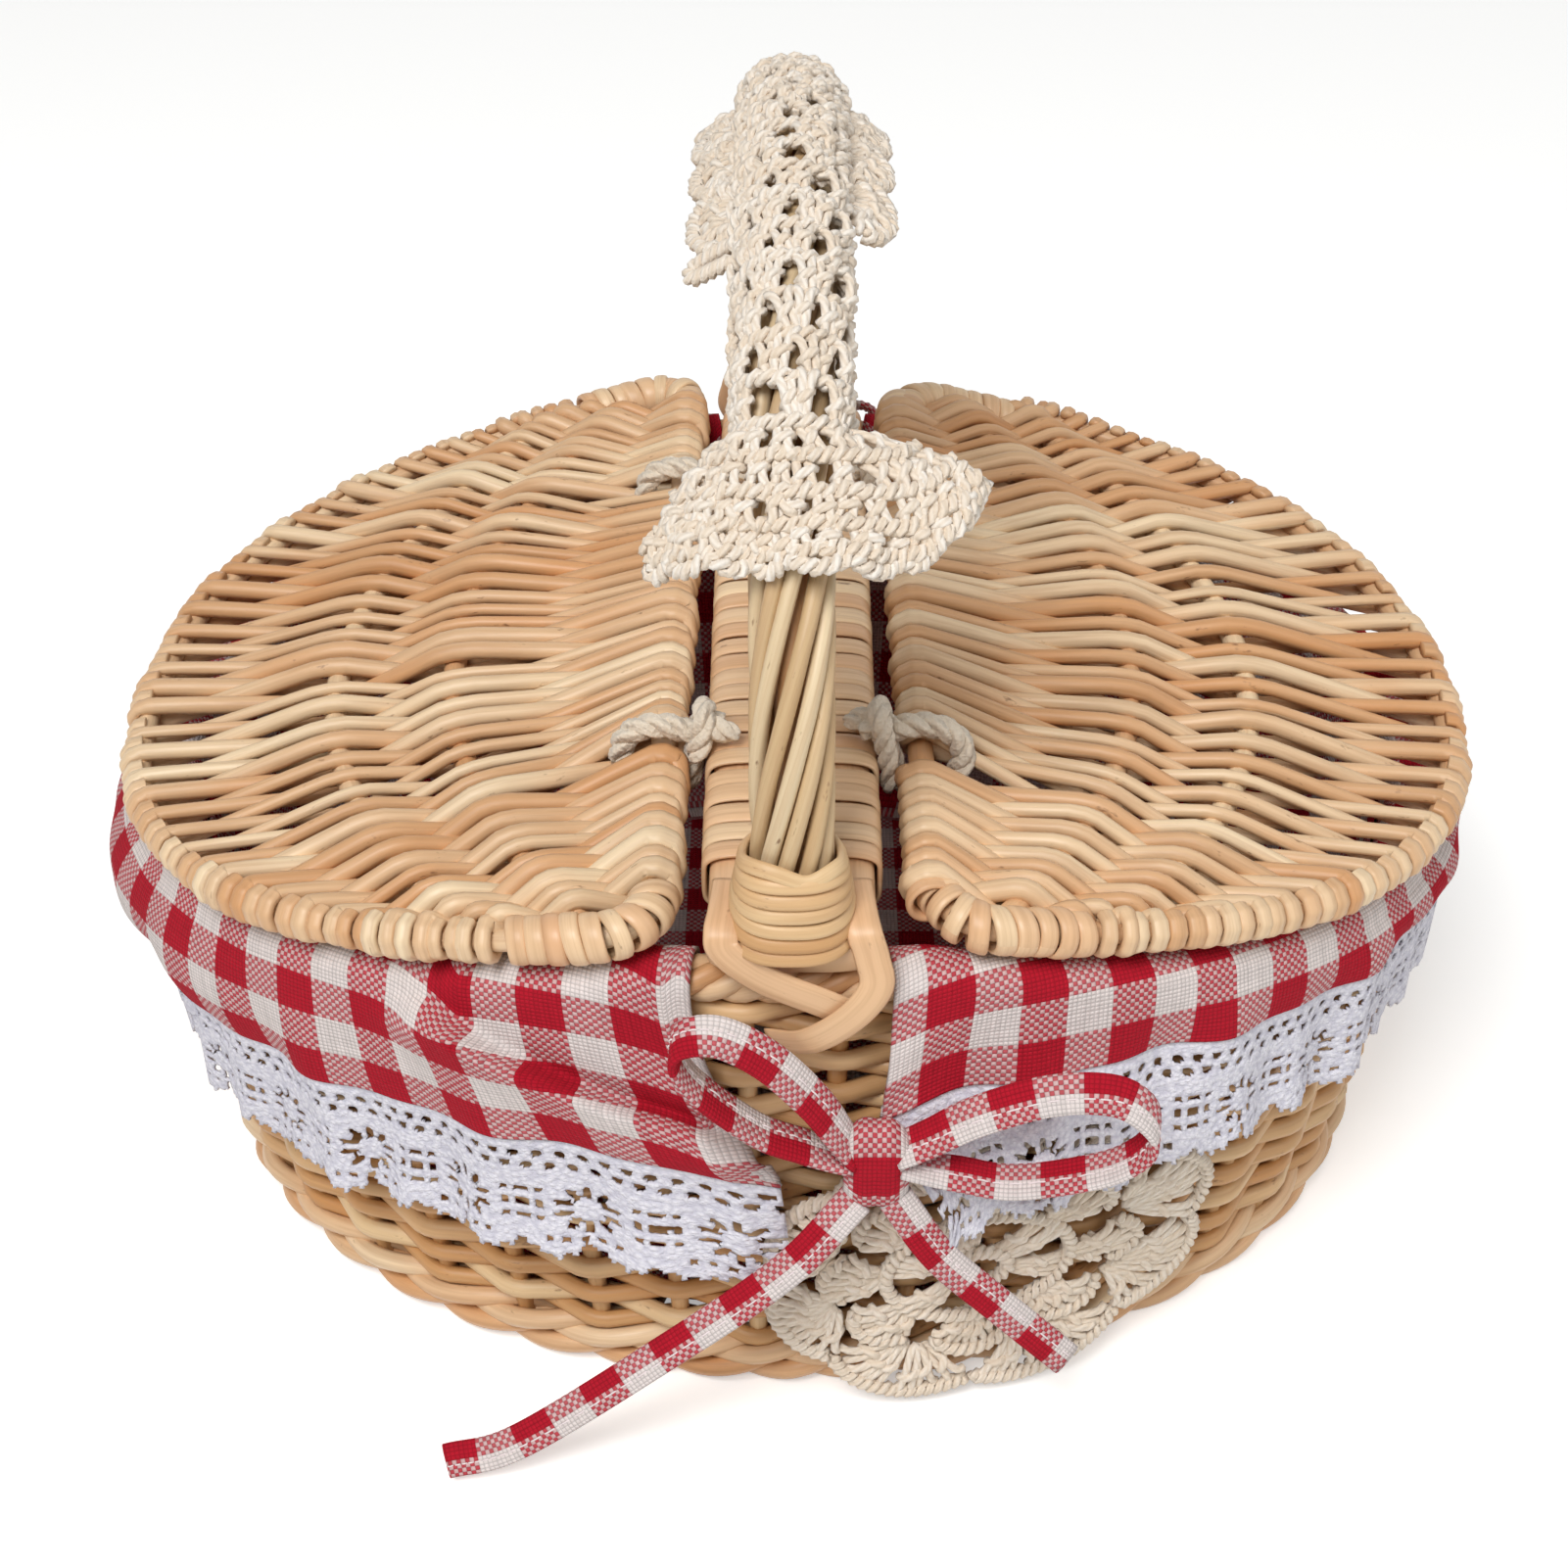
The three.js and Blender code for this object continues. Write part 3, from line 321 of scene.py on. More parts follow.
turns = all_round(BASE_STEPS)
shares = (np.arange(BASE_ROUNDS) + 0.9) / (BASE_ROUNDS + 0.3)
base_half = np.array(BASE_HALF) - WALL_T
plan_x, plan_y = oval(*base_half, BASE_POWER, turns)
parity = np.where(np.arange(BASE_ROUNDS) % 2, 1, -1)[:, None]
wave = parity * np.cos(BASE_STICKS / 2 * turns) * BASE_WAVE * np.minimum(1, 2 * shares)[:, None]
rounds = np.stack([shares[:, None] * plan_x, shares[:, None] * plan_y, BASE_MIDDLE_Z + wave], -1)
woven = sweep(rounds, UPRIGHT, ring(*BASE_ROD, 6), closed=True)
stick_plan = oval(*base_half, BASE_POWER, all_round(BASE_STICKS))
stick_end = np.stack([*stick_plan, np.full(BASE_STICKS, BASE_MIDDLE_Z)], -1)
stick_start = stick_end * [BASE_STICK_FROM, BASE_STICK_FROM, 1]
stick_paths = bend(np.stack([stick_start, stick_end], 1), 6, 0)
sticks = sweep(stick_paths, UPRIGHT, ring(BASE_STICK_D, BASE_STICK_D))
add_piece("base_weave", gather([woven, sticks]), willow, replaces=["base_mat"])


# Upsett: the first rounds of the wall, where three willow rods are twisted round the stakes together
# to set them upright, each passing outside two stakes and inside the third.
STAKES = 42
ROUND_STEPS = 360
WALE_ROD = 4.8
WALE_OUT = 4.0
WALE_RISE = 1.9
WALE_ROUNDS_Z = (4.5, 9.4)

shares = np.arange(ROUND_STEPS) / ROUND_STEPS
turns = turn_at(shares)
wale = []
for z in WALE_ROUNDS_Z:
    for strand in range(3):
        phase = 2 * np.pi * (STAKES / 3 * shares + (strand + z / 10) / 3)
        out = -WALL_T / 2 + WALE_OUT * np.cos(phase)
        wale.append(body_point(turns, out, z + WALE_RISE * np.sin(phase)))
rods = sweep(wale, UPRIGHT, ring(WALE_ROD, WALE_ROD), closed=True)
add_piece("upsett_wale", rods, willow, replaces=["upsett_band"])


# Side wall: upright willow stakes with round rods woven in front of one and behind the next. The rods
# are stiff, so they run straight from stake to stake and kink there.
STAKE_D = 4.4
STAKE_FROM_Z = 2
STAKE_SHORT = 8
WALL_ROWS = 23
WALL_ROD = (4.9, 4.5)
WALL_ROD_SIZES = (0.84, 1.08)
WALL_WAVE = 3.4
WALL_STRAY = 0.35
WALL_FROM_Z = 14.5
WALL_BELOW_RIM = 12.5

stake_turns = turn_at(np.arange(STAKES) / STAKES)
rims = rim_height(stake_turns)
stake_z = STAKE_FROM_Z + np.linspace(0, 1, 12) * (rims[:, None] - STAKE_SHORT)
stake_paths = body_point(stake_turns[:, None], -WALL_T / 2, stake_z)
stakes = sweep(stake_paths, UPRIGHT + stake_paths * [1, 1, 0], ring(STAKE_D, STAKE_D))
row = np.arange(WALL_ROWS)[:, None]
row_z = WALL_FROM_Z + row / (WALL_ROWS - 1) * (rims - WALL_BELOW_RIM - WALL_FROM_Z)
side = np.where((row + np.arange(STAKES)) % 2, 1, -1)
stray_out, stray_up = rng.normal(0, WALL_STRAY, (2, WALL_ROWS, STAKES))
knots = body_point(stake_turns, -WALL_T / 2 + side * WALL_WAVE + 0.6 * stray_out, row_z + stray_up)
thick = rng.uniform(*WALL_ROD_SIZES, WALL_ROWS)
section = ring(WALL_ROD[1] * thick, WALL_ROD[0] * thick)
weavers = sweep(bend(knots, 8, 1, closed=True), UPRIGHT, section[:, None], closed=True)
golden = willow_look("golden_willow_rod", "#DFC093", "#C3935F", "#BE8348", 38, 0.43)
add_piece("side_weave", gather([stakes, weavers]), golden, replaces=["side_wall"])


# Border: the ends of the stakes and three more willow rods, bent down and rolled round each other along
# the top of the wall, so that the wall ends in a thick twisted edge.
BORDER_ROD = 4.8
BORDER_ROLL = (3.0, 2.6)
BORDER_TWISTS = 30
BORDER_BELOW_RIM = 5.3

border = []
for strand in range(4):
    phase = 2 * np.pi * (BORDER_TWISTS * shares + strand / 4)
    out = -WALL_T / 2 + BORDER_ROLL[0] * np.cos(phase)
    z = rim_height(turns) - BORDER_BELOW_RIM + BORDER_ROLL[1] * np.sin(phase)
    border.append(body_point(turns, out, z))
rods = sweep(border, UPRIGHT, ring(BORDER_ROD, BORDER_ROD, 6), closed=True)
add_piece("border_roll", rods, willow, replaces=["rim_border"])


# Bridge: a flat willow bar laid across the rim, which carries the handle and the lids. It is faced with
# split willow along its length, and its ends are rounded off.
BRIDGE_EDGE_POWER = 5
BRIDGE_END_STEPS = np.array([0, 0.4, 1.2, 2.5])
BRIDGE_END_SHRINK = 0.22
BRIDGE_END_LONG = 6


def solid_box(name):
    """The low and the high corner of a solid of the frame, in millimetres."""
    return (np.array(corner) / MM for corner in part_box(name))


low, high = solid_box("bridge_board")
bridge_w, bridge_t = high[0] - low[0], high[2] - low[2]
bridge_z = (low[2] + high[2]) / 2
_, bridge_end, bridge_top = high
middle_y = np.linspace(-bridge_end + BRIDGE_END_LONG, bridge_end - BRIDGE_END_LONG, 60)
y = np.concatenate([-bridge_end + BRIDGE_END_STEPS, middle_y, (bridge_end - BRIDGE_END_STEPS)[::-1]])
near_end = np.clip(1 - (bridge_end - np.abs(y)) / BRIDGE_END_STEPS[-1], 0, 1)
shrink = 1 - BRIDGE_END_SHRINK * near_end ** 2
path = np.stack([np.zeros_like(y), y, np.full_like(y, bridge_z)], -1)
section = ring(bridge_w * shrink, bridge_t * shrink, 40, BRIDGE_EDGE_POWER)
skein = willow_look("split_willow_skein", "#EBD0A9", "#DBB086", "#DAAA80", 55, 0.37)
bar = sweep(path[None], UPRIGHT, section[None], tones=[0.75])
add_piece("bridge_bar", bar, skein, replaces=["bridge_board"])


# Bridge binding: one long skein of split willow, shaved flat, wound edge to edge round the bar between
# the handle's feet. Its turns lie a little askew.
SKEIN_T = 1.2
BINDING_TURNS = 31
BINDING_W = 6.3
BINDING_SIZES = (0.92, 1.1)
BINDING_STRAY = 0.35

low, high = solid_box("bridge_binding")
turn = all_round(64)
x, z = oval(high[0] - SKEIN_T / 2, (high[2] - low[2] - SKEIN_T) / 2, BRIDGE_EDGE_POWER, turn)
wind = np.linspace(low[1] + BINDING_W / 2, high[1] - BINDING_W / 2, BINDING_TURNS)[:, None]
tilt, shift, lift = rng.normal(0, BINDING_STRAY, (3, BINDING_TURNS, 1))
paths = np.stack(np.broadcast_arrays(
    x * (1 + 0.012 * lift), wind + shift + tilt * np.sin(turn), bridge_z + z * (1 + 0.03 * lift)), -1)
ups = np.stack([np.sign(x) * np.abs(x / x.max()) ** 4, 0 * x, np.sign(z) * np.abs(z / z.max()) ** 4], -1)
section = ring(BINDING_W * rng.uniform(*BINDING_SIZES, BINDING_TURNS), SKEIN_T, 10, 3)
winding = sweep(paths, unit(ups), section[:, None], closed=True)
add_piece("bridge_skein", winding, skein, replaces=["bridge_binding"])


# Handle: pale willow rods laid round a thinner heart rod and twisted together along the arch. Its feet
# stand on the ends of the bridge, so it doesn't swing.
HANDLE_D = 17.6
HANDLE_ROD_D = 3.6
HANDLE_ROD_SIZES = (0.94, 1.06)
HEART_D = 7.0
HANDLE_RODS = 10
HANDLE_NODES = 9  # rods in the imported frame, which these replace
HANDLE_RISE = 114
HANDLE_POWER = 2.1
HANDLE_TWIST = 2.3
HANDLE_STRAY = 0.08
HANDLE_SUNK = 4
HANDLE_INSET = 7
HANDLE_GAP = 0.3

handle_y = RIM_HALF[1] - HANDLE_INSET
handle_foot = bridge_top + HANDLE_GAP
arch_line = np.stack(oval(handle_y, HANDLE_RISE, HANDLE_POWER, np.linspace(np.pi, 0, 4001)), -1)
arch_walked = walked_along(arch_line)
arch_length = arch_walked[-1]
arch_slope = np.gradient(arch_line, arch_walked, axis=0)


def between(at, walked, rows):
    """Rows of values at places along a walk, evenly between the two rows beside each place."""
    return np.stack([np.interp(at, walked, column) for column in np.asarray(rows).T], -1)


def arch(share, right=0.0, outward=0.0):
    """A point beside the handle's arch at a share of its length from the front foot: a superellipse in
    the plane of the bridge, stepped to the right and outward along its normal. Also the normal."""
    share = np.asarray(share, float)
    at = np.clip(share, 0, 1) * arch_length
    past = share * arch_length - at
    along = unit(between(at, arch_walked, arch_slope))
    y, z = np.moveaxis(between(at, arch_walked, arch_line) + past[..., None] * along, -1, 0)
    right, outward, out_y, out_z, y, z = np.broadcast_arrays(
        right, outward, -along[..., 1], along[..., 0], y, z)
    point = np.stack([right, y + outward * out_y, handle_foot + z + outward * out_z], -1)
    return point, np.stack([0 * right, out_y, out_z], -1)


sunk = HANDLE_SUNK / arch_length
share = np.linspace(-sunk, 1 + sunk, 130)
pale_willow = willow_look("pale_willow_rod", "#DECAA6", "#C4A67C", "#C9AE88", 60, 0.44)
core, core_up = arch(share)
# The heart rod is given the deeper willow tone as painted shade, so the gaps between the twisted rods look
# dark
heart = sweep(core[None], core_up[None], ring(HEART_D, HEART_D, 10), tones=[1.0])
add_piece("handle_heart", heart, willow, replaces=["handle_core"])
turn = 2 * np.pi * (np.arange(HANDLE_RODS)[:, None] / HANDLE_RODS + HANDLE_TWIST * share)
turn = turn + rng.normal(0, HANDLE_STRAY, (HANDLE_RODS, 1))
orbit = (HANDLE_D - HANDLE_ROD_D) / 2
rods, _ = arch(share, orbit * np.sin(turn), orbit * np.cos(turn))
section = ring(HANDLE_ROD_D * rng.uniform(*HANDLE_ROD_SIZES, HANDLE_RODS), HANDLE_ROD_D, 10)
add_piece("handle_rods", sweep(rods, rods - core, section[:, None]), pale_willow,
          replaces=[f"handle_rod_{i + 1}" for i in range(HANDLE_NODES)])


# Collars: skeins wound round each foot of the handle, lapped like shingles, pressed together at the
# sides and spread apart over the end of the bridge, with the last turn dipping across the front.
COLLAR_TURNS = 7
COLLAR_W = 3.3
COLLAR_T = 1.7
COLLAR_SIZES = (0.94, 1.06)
COLLAR_PITCH = 2.1
COLLAR_LOWEST = -1.0
COLLAR_RADIUS = (12.8, 10.3)
COLLAR_POWER = 2.6
COLLAR_FALL = 3.0
COLLAR_DIP = 2.5
COLLAR_HUB_BELOW = 6

for end, foot, way in (("front", 0, 1), ("rear", 1, -1)):
    rise = COLLAR_LOWEST + COLLAR_PITCH * np.arange(COLLAR_TURNS)[:, None]
    radius = np.linspace(*COLLAR_RADIUS, COLLAR_TURNS)[:, None]
    turn = all_round(72)
    x, outward = oval(1, 1, COLLAR_POWER, turn)
    facing = np.clip((outward + 0.2) / 1.2, 0, 1)
    lean = rng.uniform(-0.8, 0.8, (COLLAR_TURNS, 1))
    fall = np.linspace(COLLAR_FALL, -COLLAR_FALL, COLLAR_TURNS)[:, None]
    dip = fall * facing ** 2 * (3 - 2 * facing) + 0.4 * np.sin(turn + lean)
    dip[-1] += COLLAR_DIP * np.exp(-((way * x - 0.3) / 0.5) ** 2) * facing
    share = foot + way * (rise - dip) / arch_length
    paths, _ = arch(share, radius * x, radius * outward)
    hubs, _ = arch(share - way * COLLAR_HUB_BELOW / arch_length)
    section = ring(COLLAR_W * rng.uniform(*COLLAR_SIZES, COLLAR_TURNS), COLLAR_T, 10, 2.5)
    winding = sweep(paths, paths - hubs, section[:, None], closed=True)
    add_piece(f"collar_skein_{end}", winding, golden, replaces=[f"handle_collar_{end}"])


# Lashings: two wide skeins of split willow over each end of the bridge. They cross in front of it, and
# their ends are tucked into the weave of the wall, which ties the bridge down.
LASH_W = 7.4
LASH_REACH = 16
LASH_LIFT = 0.9
LASH_CLEAR = 1.3
ENDS = (("front", False), ("rear", True))


def through(points, per_span):
    """A smooth curve through points: each span is a cubic whose slopes follow the points beside it."""
    p = np.asarray(points, float)
    first = 2 * p[..., :1, :] - p[..., 1:2, :]
    last = 2 * p[..., -1:, :] - p[..., -2:-1, :]
    p = np.concatenate([first, p, last], axis=-2)
    t = np.arange(per_span)[:, None] / per_span
    a, b, c, d = (p[..., i:p.shape[-2] - 3 + i, None, :] for i in range(4))
    path = b + 0.5 * t * (c - a + t * (2 * a - 5 * b + 4 * c - d + t * (3 * (b - c) + d - a)))
    return np.concatenate([path.reshape(*p.shape[:-2], -1, 3), p[..., -2:-1, :]], axis=-2)


def turned(points, half_turn):
    """Points turned half a turn about the upright axis, or left as they are."""
    return np.asarray(points) * ([-1, -1, 1] if half_turn else [1, 1, 1])


face = -(bridge_end + LASH_CLEAR)
start_y = LASH_REACH - bridge_end
LASH_ROUTES = {
    "over": [(-12.8, start_y, LASH_LIFT), (-13.6, 6 - bridge_end, LASH_LIFT + 0.2), (-14.4, face + 1.4, -0.8),
             (-13.4, face - 0.2, -4.6), (-6.0, face - 1.2, -10.5), (5.0, face - 1.4, -16),
             (13.0, face - 0.4, -20.5), (17.5, face + 4.0, -23.5)],
    "under": [(13.0, start_y, LASH_LIFT), (13.8, 6 - bridge_end, LASH_LIFT + 0.2), (14.8, face + 1.4, -0.8),
              (16.4, face - 0.2, -6), (17.2, face - 1.6, -12.5), (12.0, face - 3.0, -19.5),
              (3.5, face - 1.8, -26.5), (-4.0, face + 4.0, -31)],
}
for end, behind in ENDS:
    for level, route in LASH_ROUTES.items():
        path = through(route, 10)
        facing = np.stack([0 * path[:, 0], np.minimum(-0.05, path[:, 1] + bridge_end - 4),
                           np.maximum(0, path[:, 2] + 3)], -1)
        path = turned(path + [0, 0, bridge_top], behind)
        strip = sweep(path[None], turned(unit(facing), behind)[None], ring(LASH_W, SKEIN_T, 10, 3))
        add_piece(f"lashing_{level}_{end}", strip, skein, replaces=[f"lash_{level}_{end}"])


# Lids: each is a D of willow. A straight inner rod and a bent outer rod make the rim, and two bowed ribs
# run from end to end. Every weaving rod is folded round the inner rod, and its two halves are woven out
# over and under the ribs and turned round the outer rod. The corners are bound with flat skein.
LID_HALF = (165, 134.5)
LID_POWER = 2.33
LID_EDGE_D = 13
LID_EDGE_INSET = (0.6, 2.0)
LID_CORNER_R = 10
LID_BOW_D = 5.0
LID_INNER_D = 6.0
LID_INNER_PAST = 2
LID_RIB_D = 5.4
LID_RIB_SHORT = 9
LID_RIBS = ((82, 38, 126), (111, 62, 121.6))
LID_ROD_D = 4.1
LID_ROD_SIZES = (0.7, 1.22)
LID_ROWS = {"left": 38, "right": 37}
LID_SHIFT = {"left": (0, 0, 0), "right": (2.5, 3, 0)}
ROW_END = 112
TIE_Y = 61
TIE_SLOT = 5.0
BOW_SHARE = (0.095, 0.905)
FOLD_DEGREES = (150, 110, 78)
BOW_DEGREES = (112, 68, 22, -24, -70, -112)
CORNER_SKEIN_W = 4.3
CORNER_SKEIN_T = 1.7
HANDS = (("left", -1), ("right", 1))


def lid_outline():
    """The middle of the lid's edge, in the lid's plane, from the front corner round to the rear one:
    a superellipse, with a quarter circle at each end down to the hinge line."""
    reach, wide = np.array(LID_HALF) - LID_EDGE_D / 2 - LID_EDGE_INSET
    last = np.arccos(((HINGE_X + LID_CORNER_R) / reach) ** (LID_POWER / 2))
    x, y = oval(reach, wide, LID_POWER, np.linspace(-last, last, 400))
    x = (x - HINGE_X) / np.cos(LID_TILT)
    turn = np.linspace(np.pi, np.pi / 2, 24)[:-1]
    corner_x = x[0] * (1 + np.cos(turn))
    corner_y = y[-1] - LID_CORNER_R * (1 - np.sin(turn))
    x = np.concatenate([corner_x, x, corner_x[::-1]])
    y = np.concatenate([-corner_y, y, corner_y[::-1]])
    return np.stack([x, y, 0 * x], -1)


def along_line(line, share):
    """Points at shares of the way along a line of points, and the line's direction there."""
    walked = walked_along(line)
    at = np.asarray(share) * walked[-1]
    return between(at, walked, line), unit(between(at, walked, np.gradient(line, walked, axis=0)))


def rib_x(rib, y):
    """How far out a rib lies at a place along the hinge: bowed from its end to its middle."""
    middle, end, reach = LID_RIBS[rib]
    return (middle - (middle - end) * (y / reach) ** 2 - HINGE_X) / np.cos(LID_TILT)


def lid_halves(outline, starts, lanes, thick, share, top):
    """One half of every weaving rod: from above or below the inner rod, straight to the first rib and
    past its other side, past the second rib on the side where it began, then round the outer rod."""
    rows = len(starts)
    ends, way = along_line(outline, share)
    outward = np.cross(way, UPRIGHT)
    hub = (LID_INNER_D + 0.8 * thick) / 2
    knots = []
    for a in np.radians(FOLD_DEGREES):
        knots.append(np.stack([hub * np.cos(a), starts, top * hub * np.sin(a)], -1))
    for rib, (past, latest) in enumerate(((-top, 0.6), (top, 0.82))):
        reached = np.full(rows, 0.5)
        for _ in range(20):
            reached = np.clip(rib_x(rib, lanes + (ends[:, 1] - lanes) * reached) / ends[:, 0], 0.1, 1.2)
        height = past * (LID_RIB_D + 0.9 * thick) / 2 * np.clip(1 - 2 * (reached - latest - 0.1), 0.3, 1)
        reached = np.minimum(reached, latest)
        place = np.stack([ends[:, 0] * reached, lanes + (ends[:, 1] - lanes) * reached, height], -1)
        knots.append(place + rng.normal(0, 0.3, (rows, 3)))
    rim = (LID_BOW_D + 0.62 * thick) / 2
    for a in np.radians(BOW_DEGREES):
        rise = -top * np.sin(a) * np.array(UPRIGHT)
        knots.append(ends + rim[:, None] * (np.cos(a) * outward + rise))
    return np.stack(knots, 1), ends


def lid_rows(outline, count):
    """The weaving rods, side by side on the inner rod between the ties, fanning out to the outer rod,
    where they lie further apart in the middle than at the corners."""
    tie_ends = TIE_Y - TIE_SLOT, TIE_Y + TIE_SLOT
    spans = np.array([-ROW_END, -tie_ends[1], -tie_ends[0], tie_ends[0], tie_ends[1], ROW_END])
    lengths = spans[1::2] - spans[::2]
    starts, thick = [], []
    for begin, length in zip(spans[::2], lengths):
        sizes = rng.uniform(*LID_ROD_SIZES, int(round(count * length / lengths.sum())))
        starts.append(begin + length * (np.cumsum(sizes) - sizes / 2) / sizes.sum())
        thick.append(LID_ROD_D * sizes)
    starts, thick = np.concatenate(starts), np.concatenate(thick)
    rows = len(starts)
    fan = (np.arange(rows) + 0.5) / rows * 2 - 1
    middle, half = np.mean(BOW_SHARE), (BOW_SHARE[1] - BOW_SHARE[0]) / 2
    step = half / rows
    share = middle + half * (1.13 * fan - 0.13 * fan ** 3) + rng.normal(0, 0.12 * step, rows)
    lanes = ROW_END * fan
    room, lane_room = 0.25 * np.gradient(starts), 0.25 * np.gradient(lanes)
    above, above_ends = lid_halves(outline, starts - room, lanes - lane_room, thick, share - 0.5 * step, 1)
    below, below_ends = lid_halves(outline, starts + room, lanes + lane_room, thick, share + 0.5 * step, -1)
    path = bend(np.concatenate([above[:, ::-1], below], 1), 9, 1)
    place = np.linspace(-1, 1, path.shape[1])
    folded = np.clip(1 - (np.abs(place) - 0.18) / 0.08, 0, 1)
    turned_round = np.clip((np.abs(place) - 0.5) / 0.1, 0, 1)
    at_bow = 0.5 * np.gradient(share) * walked_along(outline)[-1] / thick
    spread = np.clip(1.08 * at_bow, 0.6, 1.45)[:, None] - 1
    wide = thick[:, None] * (1 + 0.34 * folded + spread * turned_round)
    tall = thick[:, None] * (1 - 0.15 * folded - 0.36 * turned_round)
    ends = np.where(place[:, None] < 0, above_ends[:, None], below_ends[:, None])
    flat = np.where(place < 0, 1.0, -1.0)[:, None] * UPRIGHT
    ups = unit(path * [1, 0, 1]) * folded[:, None] + flat * (1 - folded[:, None])
    ups = ups * (1 - turned_round[:, None]) - unit(path - ends) * turned_round[:, None]
    return sweep(path, ups, ring(wide, tall))


def corner_bands(outline):
    """Flat skein round the two corners: bands side by side from the last woven row on the inner rod,
    round the corner and along the outer rod to where the woven rows begin."""
    inner = np.linspace([0, -ROW_END - 3, 0], [0, outline[0, 1], 0], 20)[:-1]
    front, _ = along_line(outline, np.linspace(0, BOW_SHARE[0] - 0.008, 120))
    front = np.concatenate([inner, front])
    bands = []
    for line in (front, front * [1, -1, 1]):
        count = int(walked_along(line)[-1] / (CORNER_SKEIN_W * 0.93))
        place, way = along_line(line, (np.arange(count) + 0.5) / count)
        outward = np.cross(way, UPRIGHT)
        turn = all_round(28)
        lean = 1.3 * np.cos(turn + rng.uniform(-0.5, 0.5, (count, 1)))
        out = np.cos(turn)[:, None] * outward[:, None] + np.sin(turn)[:, None] * UPRIGHT
        radius = LID_EDGE_D / 2 - 1.9 + rng.normal(0, 0.18, (count, 1, 1))
        paths = place[:, None] + radius * out + lean[..., None] * way[:, None]
        section = ring(CORNER_SKEIN_W * rng.uniform(0.9, 1.12, count), CORNER_SKEIN_T, 10, 2.6)
        bands.append(sweep(paths, out, section[:, None], closed=True))
    return gather(bands)


def placed_lid(shape, side):
    """A shape drawn flat from the hinge line outward, tilted down to the rim and set on its hinge."""
    points, *rest = shape
    c, s = np.cos(LID_TILT), np.sin(LID_TILT)
    x, y, z = points.T
    world = np.stack([HINGE_X + x * c + z * s, y, HINGE_Z - x * s + z * c], -1)
    return turned(world, side < 0), *rest


for hand, side in HANDS:
    lid = f"lid_{hand}"
    outline = lid_outline() + LID_SHIFT[hand]
    weave = placed_lid(lid_rows(outline, LID_ROWS[hand]), side)
    add_piece(f"{lid}_woven", weave, willow, lid, [f"{lid}_weave"])
    add_piece(f"{lid}_corner_skein", placed_lid(corner_bands(outline), side), skein, lid)
    outer, _ = along_line(outline, np.linspace(0, 1, 200))
    inner_end = ROW_END + LID_INNER_PAST
    inner = np.linspace([0, -inner_end, 0], [0, inner_end, 0], 40)
    rods = [("outer_rod", "bow", outer, LID_BOW_D), ("inner_rod", "hinge_rod", inner, LID_INNER_D)]
    for rib, (_, _, reach) in enumerate(LID_RIBS):
        y = np.linspace(LID_RIB_SHORT - reach, reach - LID_RIB_SHORT, 60)
        line = np.stack([rib_x(rib, y), y, 0 * y], -1)
        rods.append((f"bowed_rib_{rib + 1}", f"rib_{rib + 1}", line, LID_RIB_D))
    for name, node, line, size in rods:
        rod = sweep(line[None], UPRIGHT, ring(size, size, 12))
        add_piece(f"{lid}_{name}", placed_lid(rod, side), willow, lid, [f"{lid}_{node}"])


# Rope hinges: at two places on each lid a length of soft cotton rope is passed round the inner rod and
# tied on the bridge with a half knot, one end laid on the bridge and one hanging in the gap.
ROPE_D = 5.6
ROPE_LAY = 13
ROPE_YARN_LAY = 5
ROPE_YARNS_APART = 10 / 3
ROPE_OVER_BRIDGE = 2.0


def twist(look, lay_mm, apart_mm, fuzz_mm, deep):
    """Twisted cotton: the wave sin(2 pi (along / lay + round / apart)) over its strands, a fuzz with cells
    so many millimetres wide, and the height of both together."""
    along, round_ = along_and_round(look)
    lay = add_node(look, "Math", {0: along, 1: 2 * np.pi / (lay_mm * MM)}, operation="MULTIPLY")
    angle = add_node(look, "Math", {0: round_, 1: 2 * np.pi / (apart_mm * MM), 2: lay},
                     operation="MULTIPLY_ADD")
    wave = add_node(look, "Math", {0: angle}, operation="SINE")
    solid = add_node(look, "TexCoord", output="Object")
    fuzz = add_node(look, "TexNoise", {"Vector": solid, "Scale": 1 / (fuzz_mm * MM), "Detail": 3.0})
    return wave, fuzz, add_node(look, "Math", {0: wave, 1: deep, 2: fuzz}, operation="MULTIPLY_ADD")


def cotton_rope_look():
    """Soft cotton rope: matt cream, fluffy, with the fine twist of the yarns in each strand."""
    look, shader = new_look("soft_cotton_rope")
    _, fluff, height = twist(look, ROPE_YARN_LAY, ROPE_YARNS_APART, 1.1, 0.4)
    colour = add_node(look, "MixRGB", {"Fac": fluff, "Color1": tint("#D9C8B0"), "Color2": tint("#EFE4D3")})
    bump = add_node(look, "Bump", {"Height": height, "Strength": 0.8, "Distance": 0.9 * MM})
    feed(shader, {"Base Color": colour, "Normal": bump, "Roughness": 0.95, "Sheen Weight": 0.25})
    return look


def ways(path, ups):
    """The ways across a path and up from it, at every point."""
    along = unit(np.gradient(path, axis=0))
    across = unit(np.cross(ups, along))
    return across, np.cross(along, across)


def plied(path, ups, size):
    """Three strands twisted round a path, each a little over half as thick as the rope."""
    across, up = ways(path, ups)
    turn = 2 * np.pi * (np.arange(3)[:, None] / 3 + walked_along(path) / ROPE_LAY)
    off = np.cos(turn)[..., None] * across + np.sin(turn)[..., None] * up
    strand = 0.6 * size
    return sweep(path + 0.25 * size[:, None] * off, off, ring(strand, strand, 10)[None])


